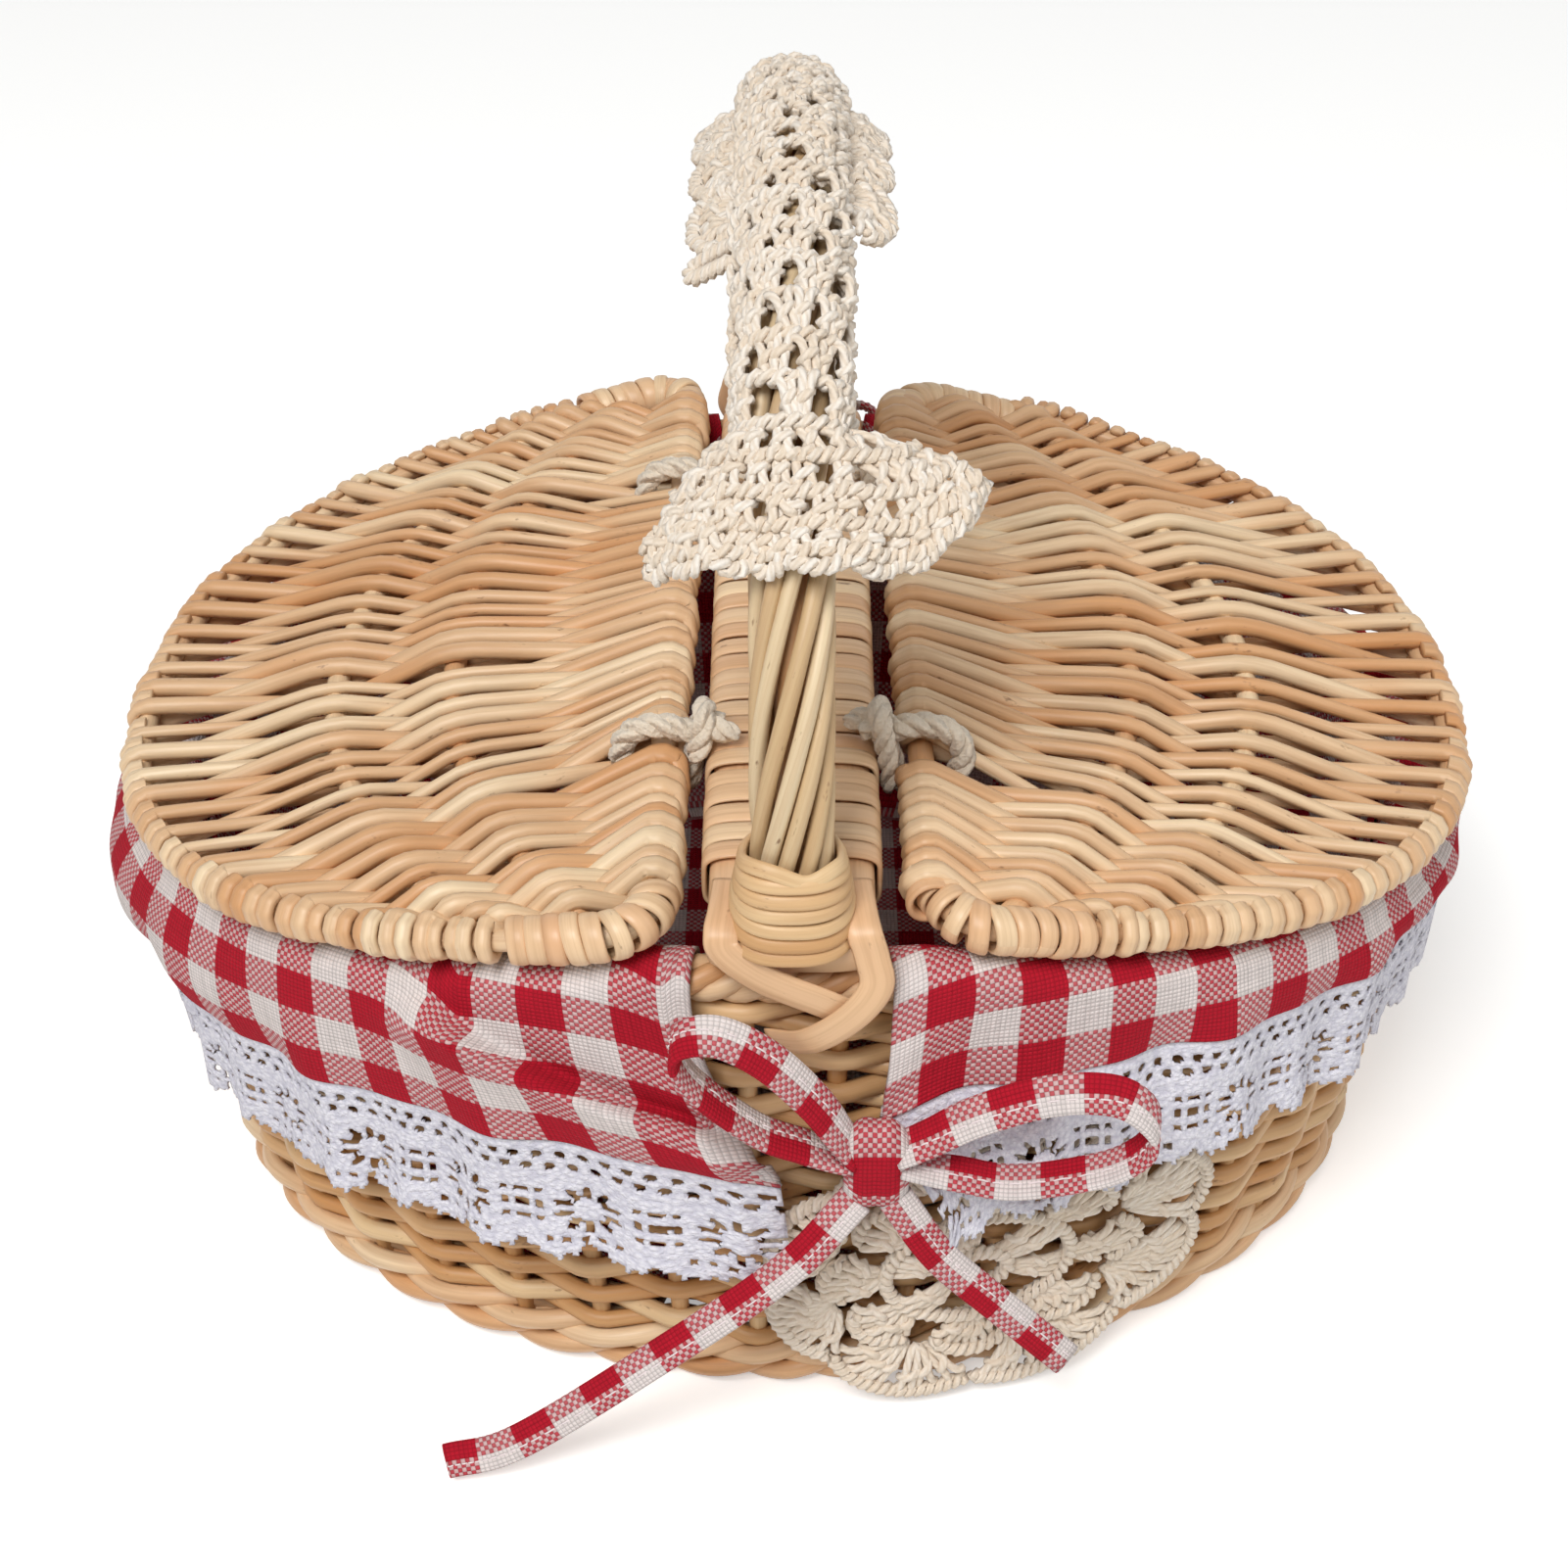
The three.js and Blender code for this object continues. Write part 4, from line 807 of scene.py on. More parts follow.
cotton_rope = cotton_rope_look()
on_bridge = bridge_top + ROPE_OVER_BRIDGE + ROPE_D / 2 - HINGE_Z
ROPE_LOOP = [(-9.5, 1.0, on_bridge + 1), (-6.5, 0.6, 7.8), (-2, 0.3, 8.9), (3, 0, 8.8), (7.6, -0.4, 6.3),
             (9.4, -0.6, 0.8), (6.6, -0.4, -5.6), (0, 0.2, -7.4), (-5.4, 0.6, -5.0), (-6.6, 0.8, 0.5),
             (-8.2, 0.2, 4.8), (-10.6, -1.2, on_bridge + 0.6), (-13.6, -2.0, on_bridge)]
ROPE_KNOT = [(-7.6, 3.4, 3.2), (-8.6, 3.6, 6.5), (-9.4, 2.8, on_bridge + 3.2), (-9.6, 0, on_bridge + 4.4),
             (-9.2, -3.2, on_bridge + 2.6), (-8.0, -3.8, 4.6), (-7.4, -4.0, 0.4), (-7.2, -4.4, -5)]
ROPE_STUB = [(-9.6, 1.6, on_bridge + 1.2), (-13.4, 2.2, on_bridge + 0.6), (-17.2, 3.0, on_bridge - 0.4)]
ROPE_PARTS = ((ROPE_LOOP, 1.0, 0.7), (ROPE_KNOT, 0.9, 0.8), (ROPE_STUB, 1.0, 0.35))
for hand, side in HANDS:
    for end, y in (("front", -TIE_Y), ("rear", TIE_Y)):
        hub = np.array([side * HINGE_X, y, HINGE_Z])
        shapes = []
        for points, thick, thin_end in ROPE_PARTS:
            path = turned(through(points, 6), side < 0) + hub
            taper = 1 - (1 - thin_end) * np.linspace(0, 1, len(path)) ** 4
            shapes.append(plied(path, path - hub + [0, 0, 0.01], ROPE_D * taper * thick))
        add_piece(f"rope_{hand}_{end}", gather(shapes), cotton_rope,
                  replaces=[f"hinge_tie_{hand}_{end}"])


# Liner bag: light cotton cloth woven in red and white checks, sewn into a bag that stands inside the
# wall and lies on the base. Its mouth is sewn to the cuffs that turn out over the border.
CHECK = 10
THREAD = 1.0  # twice the real thread's width, which is too fine to show
SLUB = (0.9, 18)
CLOTH_T = 0.9
BAG_OUT = -11.9
BAG_STEPS = 160
BAG_BELOW_RIM = 10
BAG_WALL_Z = 16
BAG_FLOOR_Z = 9.3
BAG_FLOOR_SHARES = (0.985, 0.9, 0.75, 0.6, 0.45, 0.3, 0.15, 0.03)


def gingham_look():
    """Gingham: ten threads red, ten white, both ways, in plain weave. Where red crosses white the eye
    sees red dots in a white net. The gaps between the threads are darkened with painted shade, which shows
    most in the white squares."""
    look, shader = new_look("woven_cotton_gingham")
    cloth = add_node(look, "UVMap")
    waves, dyes, slubs = [], [], []
    for place, (wide, long) in zip(along_and_round(look), (SLUB, SLUB[::-1])):
        angle = add_node(look, "Math", {0: place, 1: np.pi / (THREAD * MM)}, operation="MULTIPLY")
        waves.append(add_node(look, "Math", {0: angle}, operation="SINE"))
        across = add_node(look, "CombineXYZ", {0: place})
        dyes.append(add_node(look, "TexChecker", {
            "Vector": across, "Scale": 1 / (CHECK * MM),
            "Color1": tint("#C01A32"), "Color2": tint("#EBE2DF")}))
        drawn = add_node(look, "Mapping", {"Vector": cloth, "Scale": (1 / (wide * MM), 1 / (long * MM), 1)})
        slubs.append(add_node(look, "TexNoise", {"Vector": drawn, "Scale": 1.0, "Detail": 2.0}))
    crossing = add_node(look, "Math", {0: waves[0], 1: waves[1]}, operation="MULTIPLY")
    on_top = add_node(look, "Math", {0: crossing, 1: 0.0}, operation="GREATER_THAN")
    crown = add_node(look, "Math", {0: crossing}, operation="ABSOLUTE")
    shown = add_node(look, "MapRange", {"Value": on_top, "To Min": 0.1, "To Max": 0.82})
    dyed = add_node(look, "MixRGB", {"Fac": shown, "Color1": dyes[0], "Color2": dyes[1]})
    both = {"Fac": 1.0, "Color1": dyes[0], "Color2": dyes[1]}
    crossed = add_node(look, "MixRGB", both, blend_type="MULTIPLY")
    bled = add_node(look, "MixRGB", {"Fac": 0.3, "Color1": dyed, "Color2": crossed})
    slub = add_node(look, "Math", {0: slubs[0], 1: slubs[1]}, operation="ADD")
    worn = add_node(look, "MapRange", {
        "Value": slub, "From Min": 0.7, "From Max": 1.3, "To Min": 0.84, "To Max": 1.06})
    # Painted shade in the gaps between threads: the colour falls to two thirds away from the thread crowns,
    # and with the slubs this gives the factor light
    painted_gap_shade = add_node(look, "MapRange", {"Value": crown, "From Max": 0.45, "To Min": 0.66, "To Max": 1.0})
    light = add_node(look, "Math", {0: worn, 1: painted_gap_shade}, operation="MULTIPLY")
    shaded = add_node(look, "MixRGB", {"Fac": 1.0, "Color1": bled, "Color2": light}, blend_type="MULTIPLY")
    bump = add_node(look, "Bump", {"Height": crown, "Strength": 0.6, "Distance": 0.35 * MM})
    feed(shader, {"Base Color": shaded, "Normal": bump, "Roughness": 0.92, "Specular IOR Level": 0.2})
    return look


def squares(grid):
    """The four corners of every square of a grid."""
    four = [grid[:-1, :-1], grid[:-1, 1:], grid[1:, 1:], grid[1:, :-1]]
    return np.stack(four, 2).reshape(-1, 4, *grid.shape[2:])


def surface(points, places, flip=False, around=False):
    """A grid of points as quads, and for every corner its place on the flat cloth. The grid may close
    round on itself, and then the places have one column more."""
    index = np.arange(points.shape[0] * points.shape[1]).reshape(points.shape[:2])
    if around:
        index = np.concatenate([index, index[:, :1]], axis=1)
    quads, corners = squares(index), squares(np.asarray(places))
    if flip:
        quads, corners = quads[:, ::-1], corners[:, ::-1]
    return points.reshape(-1, 3), quads, corners, np.full(index.max() + 1, 0.5)


def thicken(piece, thick):
    """Gives a sheet its thickness, inwards from its face."""
    shell = piece.modifiers.new("thickness", "SOLIDIFY")
    shell.thickness = thick * MM
    shell.offset = -1.0


gingham = gingham_look()
turns = turn_at(np.arange(BAG_STEPS + 1) / BAG_STEPS)
walked = walked_along(np.stack(oval(RIM_HALF[0] + BAG_OUT, RIM_HALF[1] + BAG_OUT, RIM_POWER, turns), -1))
soft = 0.9 * np.sin(17 * turns) + 0.7 * np.sin(11 * turns + 1.3)
mouth_z = rim_height(turns) - BAG_BELOW_RIM
bag_levels = []
for share in np.linspace(0, 1, 16):
    out = BAG_OUT - 0.8 - 0.7 * soft * np.sin(np.pi * share)
    bag_levels.append((out, mouth_z + share * (BAG_WALL_Z - mouth_z)))
for out, z in ((-14, 12), (-17.5, BAG_FLOOR_Z + 0.8), (-22, BAG_FLOOR_Z)):
    bag_levels.append((out, np.full_like(turns, z)))
rows = [body_point(turns, out, z) for out, z in bag_levels]
places = [np.stack([walked, z], -1) for _, z in bag_levels]
floor_rows = [rows[-1] * [share, share, 1] for share in BAG_FLOOR_SHARES]
rows += floor_rows
places += [row[:, :2] for row in floor_rows]
points, quads, corners, tones = surface(np.stack(rows)[:, :-1], np.stack(places), flip=True, around=True)
middle = len(points) - BAG_STEPS + np.arange(BAG_STEPS)
half = np.arange(BAG_STEPS // 2 - 1)
cap = middle[np.stack([BAG_STEPS - 1 - half, BAG_STEPS - 2 - half, half + 1, half], -1)]
bag = points, np.concatenate([quads, cap]), np.concatenate([corners, points[cap][:, :, :2]]), tones
liner = add_piece("liner_cloth", bag, gingham, replaces=["liner_bag"])
thicken(liner, CLOTH_T)


# Cuffs: the same cloth, folded out over the border on each side of the bridge. Their lower edges are
# drawn together by a tape at the front, so the cloth falls in creases towards the bow.
CUFF_SPLIT = 21
CUFF_DROP = {"left": 34, "right": 16}
CUFF_CORNER = {"left": (22, 40), "right": (21, 40)}
CUFF_TOP_DROP = 5.2
CUFF_OUT = (2.6, 4.6)
CUFF_LEAST_OUT = 2.4
CUFF_PHASE = {"left": 0.4, "right": 2.1}
CUFF_WAVES = ((1.3, 41, 1), (0.8, 23, 3))
CUFF_INSIDE = (13, 8.5)
CUFF_CHECKS_AT = (3, 400)
CUFF_STEPS = 300
HEM_TUCK = ((1.0, 0.7, 0.5), (0.97, 1.3, 0), (0.92, 1.3, 0))
BORDER_HALF = (7.0, 6.5)
BORDER_MIDDLE = 5.2
BOW_BELOW = 50
BOW_ASIDE = 14
CREASES = 11
CREASE_HIGH = 1.3
CREASE_REACH = 55
LAP_LINE = (43, 0.33, 0.0055)
LAP_END = (75, 15)
LAP_SOFT = 0.7
LAP_HIGH, LAP_HIGH_REACH = 9.5, 19
LAP_RISE, LAP_RISE_REACH = 6, 7
BELLY_HIGH, BELLY_AT, BELLY_REACH = 2.4, 38, 40
LACE_FLARE = 5.0
PUFF = {"left": 10.0, "right": 5.0}
PUFF_REACH = 85
DRAWN_ASIDE = 17
HUNG_ASIDE = 16


def rim_walk(side, count):
    """Turns in equal steps along one side's rim from the front slit to the rear one, and the walk."""
    start = np.arccos((CUFF_SPLIT / RIM_HALF[0]) ** (RIM_POWER / 2))
    fine = np.linspace(-start, start, 2001)
    walked = walked_along(np.stack(oval(*RIM_HALF, RIM_POWER, fine), -1))
    walk = np.linspace(0, walked[-1], count)
    turn = np.interp(walk, walked, fine)
    return (turn if side > 0 else np.pi - turn), walk


def hem_drop(hand, turn):
    """How far the hem hangs below the rim: more at the corners that are drawn to the bows."""
    x, _ = oval(*RIM_HALF, RIM_POWER, turn)
    more, reach = CUFF_CORNER[hand]
    return CUFF_DROP[hand] + more * np.exp(-(np.abs(x) - CUFF_SPLIT) / reach)


def cuff_hang(hand, turn, walk, fall, below):
    """Where the hanging cloth is: fall runs from 0 beside the border to 1 at the hem, and below is how
    far under the hem. Waves grow toward the hem, creases fan out from the bow, on the left the cloth
    laps over itself along a slanting line, and on the right the lace bellies out near the front."""
    turn, walk, fall, below = np.broadcast_arrays(turn, walk, fall, below)
    phase = CUFF_PHASE[hand]
    from_drawn, from_hung = walk, walk.max() - walk
    if hand == "right":
        from_drawn, from_hung = from_hung, from_drawn
    from_end = np.minimum(from_drawn, from_hung)
    beside = np.exp(-((walk - walk.max() / 2) / PUFF_REACH) ** 2)
    drop = CUFF_TOP_DROP + fall * (hem_drop(hand, turn) - CUFF_TOP_DROP)
    wave = sum(high * np.sin(walk * 2 * np.pi / long + times * phase) for high, long, times in CUFF_WAVES)
    out = CUFF_OUT[0] + (CUFF_OUT[1] - CUFF_OUT[0]) * fall + fall ** 1.5 * wave
    bow_angle = np.arctan2(BOW_BELOW - drop, from_end + BOW_ASIDE)
    bow_far = np.hypot(BOW_BELOW - drop, from_end + BOW_ASIDE)
    crease = CREASE_HIGH * np.sin(CREASES * bow_angle + phase) * np.exp(-bow_far / CREASE_REACH)
    out = out + crease * np.minimum(1, fall * 2)
    rise = np.zeros_like(out)
    if hand == "left":
        line = drop - (LAP_LINE[0] - LAP_LINE[1] * walk - LAP_LINE[2] * walk ** 2)
        fade = np.clip((LAP_END[0] - walk) / LAP_END[1], 0, 1) * np.clip(walk / 6, 0, 1)
        over = fade * np.clip(fall * 4, 0, 1) / (1 + np.exp(-line / LAP_SOFT))
        out = out + LAP_HIGH * over * np.exp(-np.maximum(line, 0) / LAP_HIGH_REACH)
        rise = LAP_RISE * over * np.exp(-np.maximum(line, 0) / LAP_RISE_REACH)
    else:
        belly = BELLY_HIGH * np.exp(-((walk - BELLY_AT) / BELLY_REACH) ** 2)
        out = out + belly * np.clip(below / 10, 0, 1)
    out = out + PUFF[hand] * beside * np.sin(np.pi * fall) ** 0.8
    below = below * (1 + 0.25 * np.exp(-from_hung / 20) - 0.15 * np.exp(-from_drawn / 9) - 0.2 * beside)
    out = out + 0.6 * np.sin(walk * 2 * np.pi / 17 + phase) * np.minimum(below / 14, 2)
    out = out + LACE_FLARE * (1 - 1.3 * beside) * (below / 32) ** 2
    points = body_point(turn, np.maximum(out, CUFF_LEAST_OUT), rim_height(turn) - drop - below + rise)
    way = 1 if hand == "left" else -1
    drawn = DRAWN_ASIDE * np.exp(-from_drawn / 26) + np.exp(-from_hung / 16)
    hung = HUNG_ASIDE * np.exp(-from_hung / 20) * np.clip(below / 28, 0, 1)
    points[..., 0] += way * drawn * (fall ** 2 + below / 200) - way * hung
    points[..., 1] += np.sign(points[..., 1]) * 1.6 * np.exp(-from_end / 16) * (fall ** 2 + below / 60)
    return points


cuffs = {}
for hand, side in HANDS:
    turn, walk = rim_walk(side, CUFF_STEPS)
    rim = rim_height(turn)
    rows = [body_point(turn, BAG_OUT, rim - below) for below in CUFF_INSIDE]
    for a in np.radians(np.linspace(180, 12, 10)):
        out = -WALL_T / 2 + BORDER_HALF[0] * np.cos(a)
        rows.append(body_point(turn, out, rim - BORDER_MIDDLE + BORDER_HALF[1] * np.sin(a)))
    rows += [cuff_hang(hand, turn, walk, fall, 0.0) for fall in np.linspace(0.02, 1, 56)]
    for fall, inward, down in HEM_TUCK:
        tucked = cuff_hang(hand, turn, walk, fall, 0.0)
        rows.append(tucked - inward * unit(tucked * [1, 1, 0]) - [0, 0, down])
    grid = np.stack(rows)
    steps_down = np.linalg.norm(np.diff(grid, axis=0), axis=-1)
    down = np.concatenate([np.zeros((1, CUFF_STEPS)), np.cumsum(steps_down, axis=0)])
    from_hem = down - down[-1 - len(HEM_TUCK)]
    places = np.stack([np.broadcast_to(walk, down.shape), from_hem], -1) + CUFF_CHECKS_AT
    cuff = add_piece(f"cuff_{hand}", surface(grid, places, flip=side > 0), gingham,
                     replaces=[f"liner_cuff_{hand}"])
    thicken(cuff, CLOTH_T)
    cuffs[hand] = cuff, down[-1].mean()


# Lace: cotton trimming worked in a net, sewn under the hem. Two rows of eyelets run along the top,
# flowers of small holes below, and the edge is scalloped with picots.
LACE_CELL = 0.68
LACE_DEEP = 33
LACE_ABOVE_HEM = 2
LACE_T = 0.8
EYELET_APART = 4.2
EYELET_R = 1.05
EYELET_ROWS = (4.6, 8.0)
FLOWER_APART = 25
FLOWER_DOWN = 19.5
FLOWER_R = 4.7
FLOWER_SHIFT = 6
PETALS = 10
PETAL_HALF = (1.9, 0.75)
SCALLOP_W = 12.5
SCALLOP_DEEP = 3.6
PICOT_APART = 3.1


def lace_cloth(x, y):
    """How far a place on the lace is from the nearest hole or from the edge: negative in a hole. x runs
    along and y down from the hem. Eyelets are circles, flowers are rings of ten ovals."""
    def dots(apart, shift, row_y, radius):
        return np.hypot((x + shift) % apart - apart / 2, y - row_y) - radius

    field = np.minimum(dots(EYELET_APART, 0, EYELET_ROWS[0], EYELET_R),
                       dots(EYELET_APART, EYELET_APART / 2, EYELET_ROWS[1], EYELET_R))
    fx = (x + FLOWER_SHIFT) % FLOWER_APART - FLOWER_APART / 2
    fy = y - FLOWER_DOWN
    far = np.hypot(fx, fy)
    petal = np.arctan2(fy, fx) % (2 * np.pi / PETALS) - np.pi / PETALS
    oval_hole = np.hypot((far - FLOWER_R) / PETAL_HALF[0], far * petal / PETAL_HALF[1]) - 1.0
    field = np.minimum(field, oval_hole * 0.85)
    net_x = (x + FLOWER_SHIFT + FLOWER_APART / 2) % FLOWER_APART - FLOWER_APART / 2
    net = np.hypot(np.abs(np.abs(net_x) - 2.0) - 1.3, np.abs(np.abs(fy + 0.5) - 2.2) - 1.6) - 0.75
    field = np.minimum(field, np.where(np.abs(net_x) < 4.6, net, 9))
    edge = LACE_DEEP - SCALLOP_DEEP * (1 - np.abs(np.sin(np.pi * (x + FLOWER_SHIFT) / SCALLOP_W)) ** 0.7)
    picot = 0.8 * np.cos(2 * np.pi * x / PICOT_APART)
    field = np.minimum(field, np.where(np.abs(fx) > 7.5, 9, dots(PICOT_APART, 0, 27.5, 0.7)))
    return np.minimum(field, edge - 0.8 + picot - y)


def lace_look():
    """Lace: cool white cotton yarn worked close, matt, with the small lumps of its stitches and painted shade
    in the hollows between them.
    """
    look, shader = new_look("knotted_cotton_lace")
    place = add_node(look, "UVMap")
    loops = add_node(look, "TexVoronoi", {"Vector": place, "Scale": 1 / (1.25 * MM)}, "Distance")
    fluff = add_node(look, "TexNoise", {"Vector": place, "Scale": 1 / (0.5 * MM), "Detail": 2.0})
    height = add_node(look, "Math", {0: fluff, 1: loops}, operation="SUBTRACT")
    # Painted shade: the colour darkens away from the middle of each stitch lump, into the hollows between
    # them
    shade = add_node(look, "MapRange", {"Value": loops, "From Min": 0.2, "From Max": 0.8})
    colour = add_node(look, "MixRGB", {"Fac": shade, "Color1": tint("#EAE8EF"), "Color2": tint("#CFCDD9")})
    bump = add_node(look, "Bump", {"Height": height, "Strength": 0.8, "Distance": 0.6 * MM})
    feed(shader, {"Base Color": colour, "Normal": bump, "Roughness": 0.95, "Specular IOR Level": 0.2})
    return look


def lace_net(hand, side):
    """The lace as a grid of squares, without those in a hole. Points beside a hole are moved to its edge,
    along the slope of lace_cloth. Also the length along the hem."""
    _, walk = rim_walk(side, 2)
    turn, walk = rim_walk(side, int(walk[-1] / LACE_CELL) + 1)
    x, y = np.meshgrid(walk, np.arange(-LACE_ABOVE_HEM, LACE_DEEP + 1, LACE_CELL))
    field = lace_cloth(x, y)
    step = 0.05
    slope = np.stack([lace_cloth(x + step, y) - lace_cloth(x - step, y),
                      lace_cloth(x, y + step) - lace_cloth(x, y - step)]) / (2 * step)
    quads = squares(np.arange(x.size).reshape(x.shape))
    quads = quads[(field > -0.1).ravel()[quads].all(axis=1)]
    used, times = np.unique(quads, return_counts=True)
    at_edge = np.zeros(x.size, bool)
    at_edge[used[times < 4]] = True
    at_edge = at_edge.reshape(x.shape) & (y > -1) & (field < LACE_CELL) & (x > 1) & (x < walk[-1] - 1)
    nudge = np.where(at_edge, field / np.maximum((slope ** 2).sum(axis=0), 0.2), 0)
    move = np.clip(nudge * slope, -0.45 * LACE_CELL, 0.45 * LACE_CELL)
    x, y = np.clip(x - move[0], 0, walk[-1]), y - move[1]
    points = cuff_hang(hand, np.interp(x, walk, turn), x, 1.0, y)
    behind = np.clip(1.6 - 0.25 * (y + LACE_ABOVE_HEM), 0.6, 1.6)
    points = points - unit(points * [1, 1, 0]) * behind[..., None]
    renumber = np.zeros(x.size, int)
    renumber[used] = np.arange(len(used))
    corners, faces = np.stack([x, y], -1).reshape(-1, 2)[quads], renumber[quads]
    if side > 0:
        faces, corners = faces[:, ::-1], corners[:, ::-1]
    return (points.reshape(-1, 3)[used], faces, corners, np.full(len(used), 0.5)), walk[-1]


lace_cotton = lace_look()
for hand, side in HANDS:
    net, length = lace_net(hand, side)
    lace = add_piece(f"lace_{hand}", net, lace_cotton, replaces=[f"lace_trim_{hand}"])
    thicken(lace, LACE_T)
    cuff, deep = cuffs[hand]


# Bow: flat tape folded from the checked cloth and sewn along its middle with white thread. It ties the
# cuffs together at the front and at the rear: a knot, two loops and two hanging tails.
TAPE_W = 8.0
STRAP_W = 8.8
TAPE_T = 2.2
THREAD_D = 0.4
STITCH_LONG = 3.2
STITCH_ASIDE = 1.1
KNOT_WRAP = (0.5, 0, 2)
KNOT_SWELL = np.array([0.62, 0.8, 0.93, 1.0, 1.0, 0.97, 1.0, 1.0, 0.93, 0.8, 0.62])
LOOPS = {"left": (-1, 52, 15, np.radians(47)), "right": (1, 54.5, 22, np.radians(17))}
LOOP_FORWARD = 0.12
LOOP_SHAPE = [(0, -0.09), (0.2, -0.3), (0.42, -0.52), (0.78, -0.5), (0.97, -0.26), (1.0, 0.06),
              (0.9, 0.4), (0.66, 0.52), (0.36, 0.4), (0.14, 0.2), (0, 0.09)]
TAIL_LONG = [(-4.2, -2, -8.7), (-20, -6, -27), (-50, -10, -51), (-80, -13, -73), (-96, -14, -78)]
TAIL_SHORT = [(4.2, -2, -8.4), (14, -2.5, -25), (27, -2, -40), (44, 0, -60)]
TAIL_FACING = np.array([0, -0.8, 0.6])

low, high = solid_box("bow_front_knot")
knot_at, knot_half = (low + high) / 2, (high - low) / 2 + KNOT_WRAP


def sewn_look():
    """White sewing thread: a thin, smooth, slightly shiny cotton."""
    look, shader = new_look("white_sewing_thread")
    feed(shader, {"Base Color": tint("#E9DCDC"), "Roughness": 0.7})
    return look


def tape(path, ups, wide):
    """A strip of tape along a path, cut so that two rows of checks meet along its middle, and the
    stitches sewn on both its faces: short threads laid end to end a little off the middle."""
    section = ring(wide, TAPE_T, 16, 3.2)
    quarter = walked_along(section[:5])[-1]
    points, quads, corners, tones = sweep(path[None], ups[None], section, tones=[0.5])
    strip = points, quads, corners + [0, CHECK - quarter], tones
    across, up = ways(path, ups)
    count = int(walked_along(path)[-1] / STITCH_LONG)
    share = np.linspace(0, 1, len(path))
    stitch = (np.arange(count)[:, None] + np.array([0.1, 0.3, 0.5, 0.7, 0.9])) / count
    rise = np.array([-0.3, 0.1, 0.2, 0.1, -0.3])[:, None]
    threads = []
    for face in (1, -1):
        line = between(stitch, share, path + STITCH_ASIDE * across + face * TAPE_T / 2 * up)
        over = between(stitch, share, face * up)
        threads.append(sweep(line + over * rise, over, ring(THREAD_D, THREAD_D, 5)))
    return strip, gather(threads)


def bow_loop(side, reach, opening, rise):
    """The middle line of a loop of tape and its facing: an outline in the plane that the loop's way out
    and the way it opens span, with the tape leaning forward where it comes back to the knot."""
    out = unit(np.array([side * np.cos(rise), -LOOP_FORWARD, np.sin(rise)]))
    open_way = np.array([-side * np.sin(rise), 0, np.cos(rise)])
    root = knot_at + [side * (knot_half[0] - 2), -1, 2]
    path = through([root + reach * a * out + opening * b * open_way for a, b in LOOP_SHAPE], 7)
    aside = ((path - root) @ open_way) / opening
    ups = unit(np.cross(unit(np.gradient(path, axis=0)), np.cross(out, open_way)))
    return path, unit(ups + np.array([0, -1.3, 0]) * np.clip(0.2 + 1.4 * aside, -0.2, 0.9)[:, None])


sewn = sewn_look()
for end, behind in ENDS:
    line = knot_at + np.linspace([-knot_half[0], 0, 0], [knot_half[0], 0, 0], len(KNOT_SWELL))
    section = ring(2 * knot_half[1] * KNOT_SWELL, 2 * knot_half[2] * KNOT_SWELL, 24, 2.6)
    points, quads, corners, tones = sweep(turned(line, behind)[None], UPRIGHT, section[None], tones=[0.5])
    middle = 1.5 * CHECK
    knot = points, quads, corners + [middle - knot_half[0], middle - corners[..., 1].max() / 2], tones
    add_piece(f"bow_{end}_wrapped_knot", knot, gingham, replaces=[f"bow_{end}_knot"])
    for hand, loop in LOOPS.items():
        path, ups = (turned(part, behind) for part in bow_loop(*loop))
        strip, threads = tape(path, ups, STRAP_W)
        add_piece(f"bow_{end}_strap_{hand}", strip, gingham,
                  replaces=[f"bow_{end}_loop_{hand}"])
        add_piece(f"bow_{end}_strap_{hand}_stitches", threads, sewn)
    for hand, side in HANDS:
        long = hand == "left" and not behind
        drawn = np.array(TAIL_LONG if long else TAIL_SHORT) * [1 if long else side, 1, 1]
        path = turned(knot_at + through(drawn, 12), behind)
        strip, threads = tape(path, turned(np.broadcast_to(TAIL_FACING, path.shape), behind), TAPE_W)
        tail = add_piece(f"bow_{end}_ribbon_{hand}", strip, gingham,
                         replaces=[f"bow_{end}_tail_{hand}"])
        stitches = add_piece(f"bow_{end}_ribbon_{hand}_stitches", threads, sewn)


# Crochet motif: thick ecru cotton yarn worked in rounds into a flower and hung on the front wall. Posts
# run out from a small ring, then two rounds of fans, with holes between them that show the willow.
YARN_D = 2.0
PLIES = 3
PLY_LAY = 3.4
DOILY_AT = (47, 38)
DOILY_HALF = (57, 44, 36)
DOILY_FAR = 50
DOILY_FLARE = 6
DOILY_LIFT = 1.6
DOILY_RINGS = (6.5, 19.5)
DOILY_POSTS = 12
DOILY_FANS = 8
DOILY_ROUNDS = ((20.0, 33.0, 4, 0.56, 0.0), (33.5, 48.0, 6, 0.84, 0.5))
FAN_ROUND = 4.2
LEGS = np.array([
    (-0.5, 1.03, 0.3), (-0.3, 0.9, 0.85), (-0.2, 0.62, 1.0), (-0.18, 0.3, 0.8), (-0.1, 0.03, 0.25),
    (0.06, -0.05, 0.0), (0.17, 0.06, 0.3), (0.21, 0.34, 0.85), (0.19, 0.64, 0.95), (0.3, 0.9, 0.85),
    (0.5, 1.03, 0.3)])
WRAP = np.array([(-0.38, 0.33, 0.2), (-0.16, 0.44, 1.3), (0.14, 0.55, 1.35), (0.38, 0.67, 0.3)])


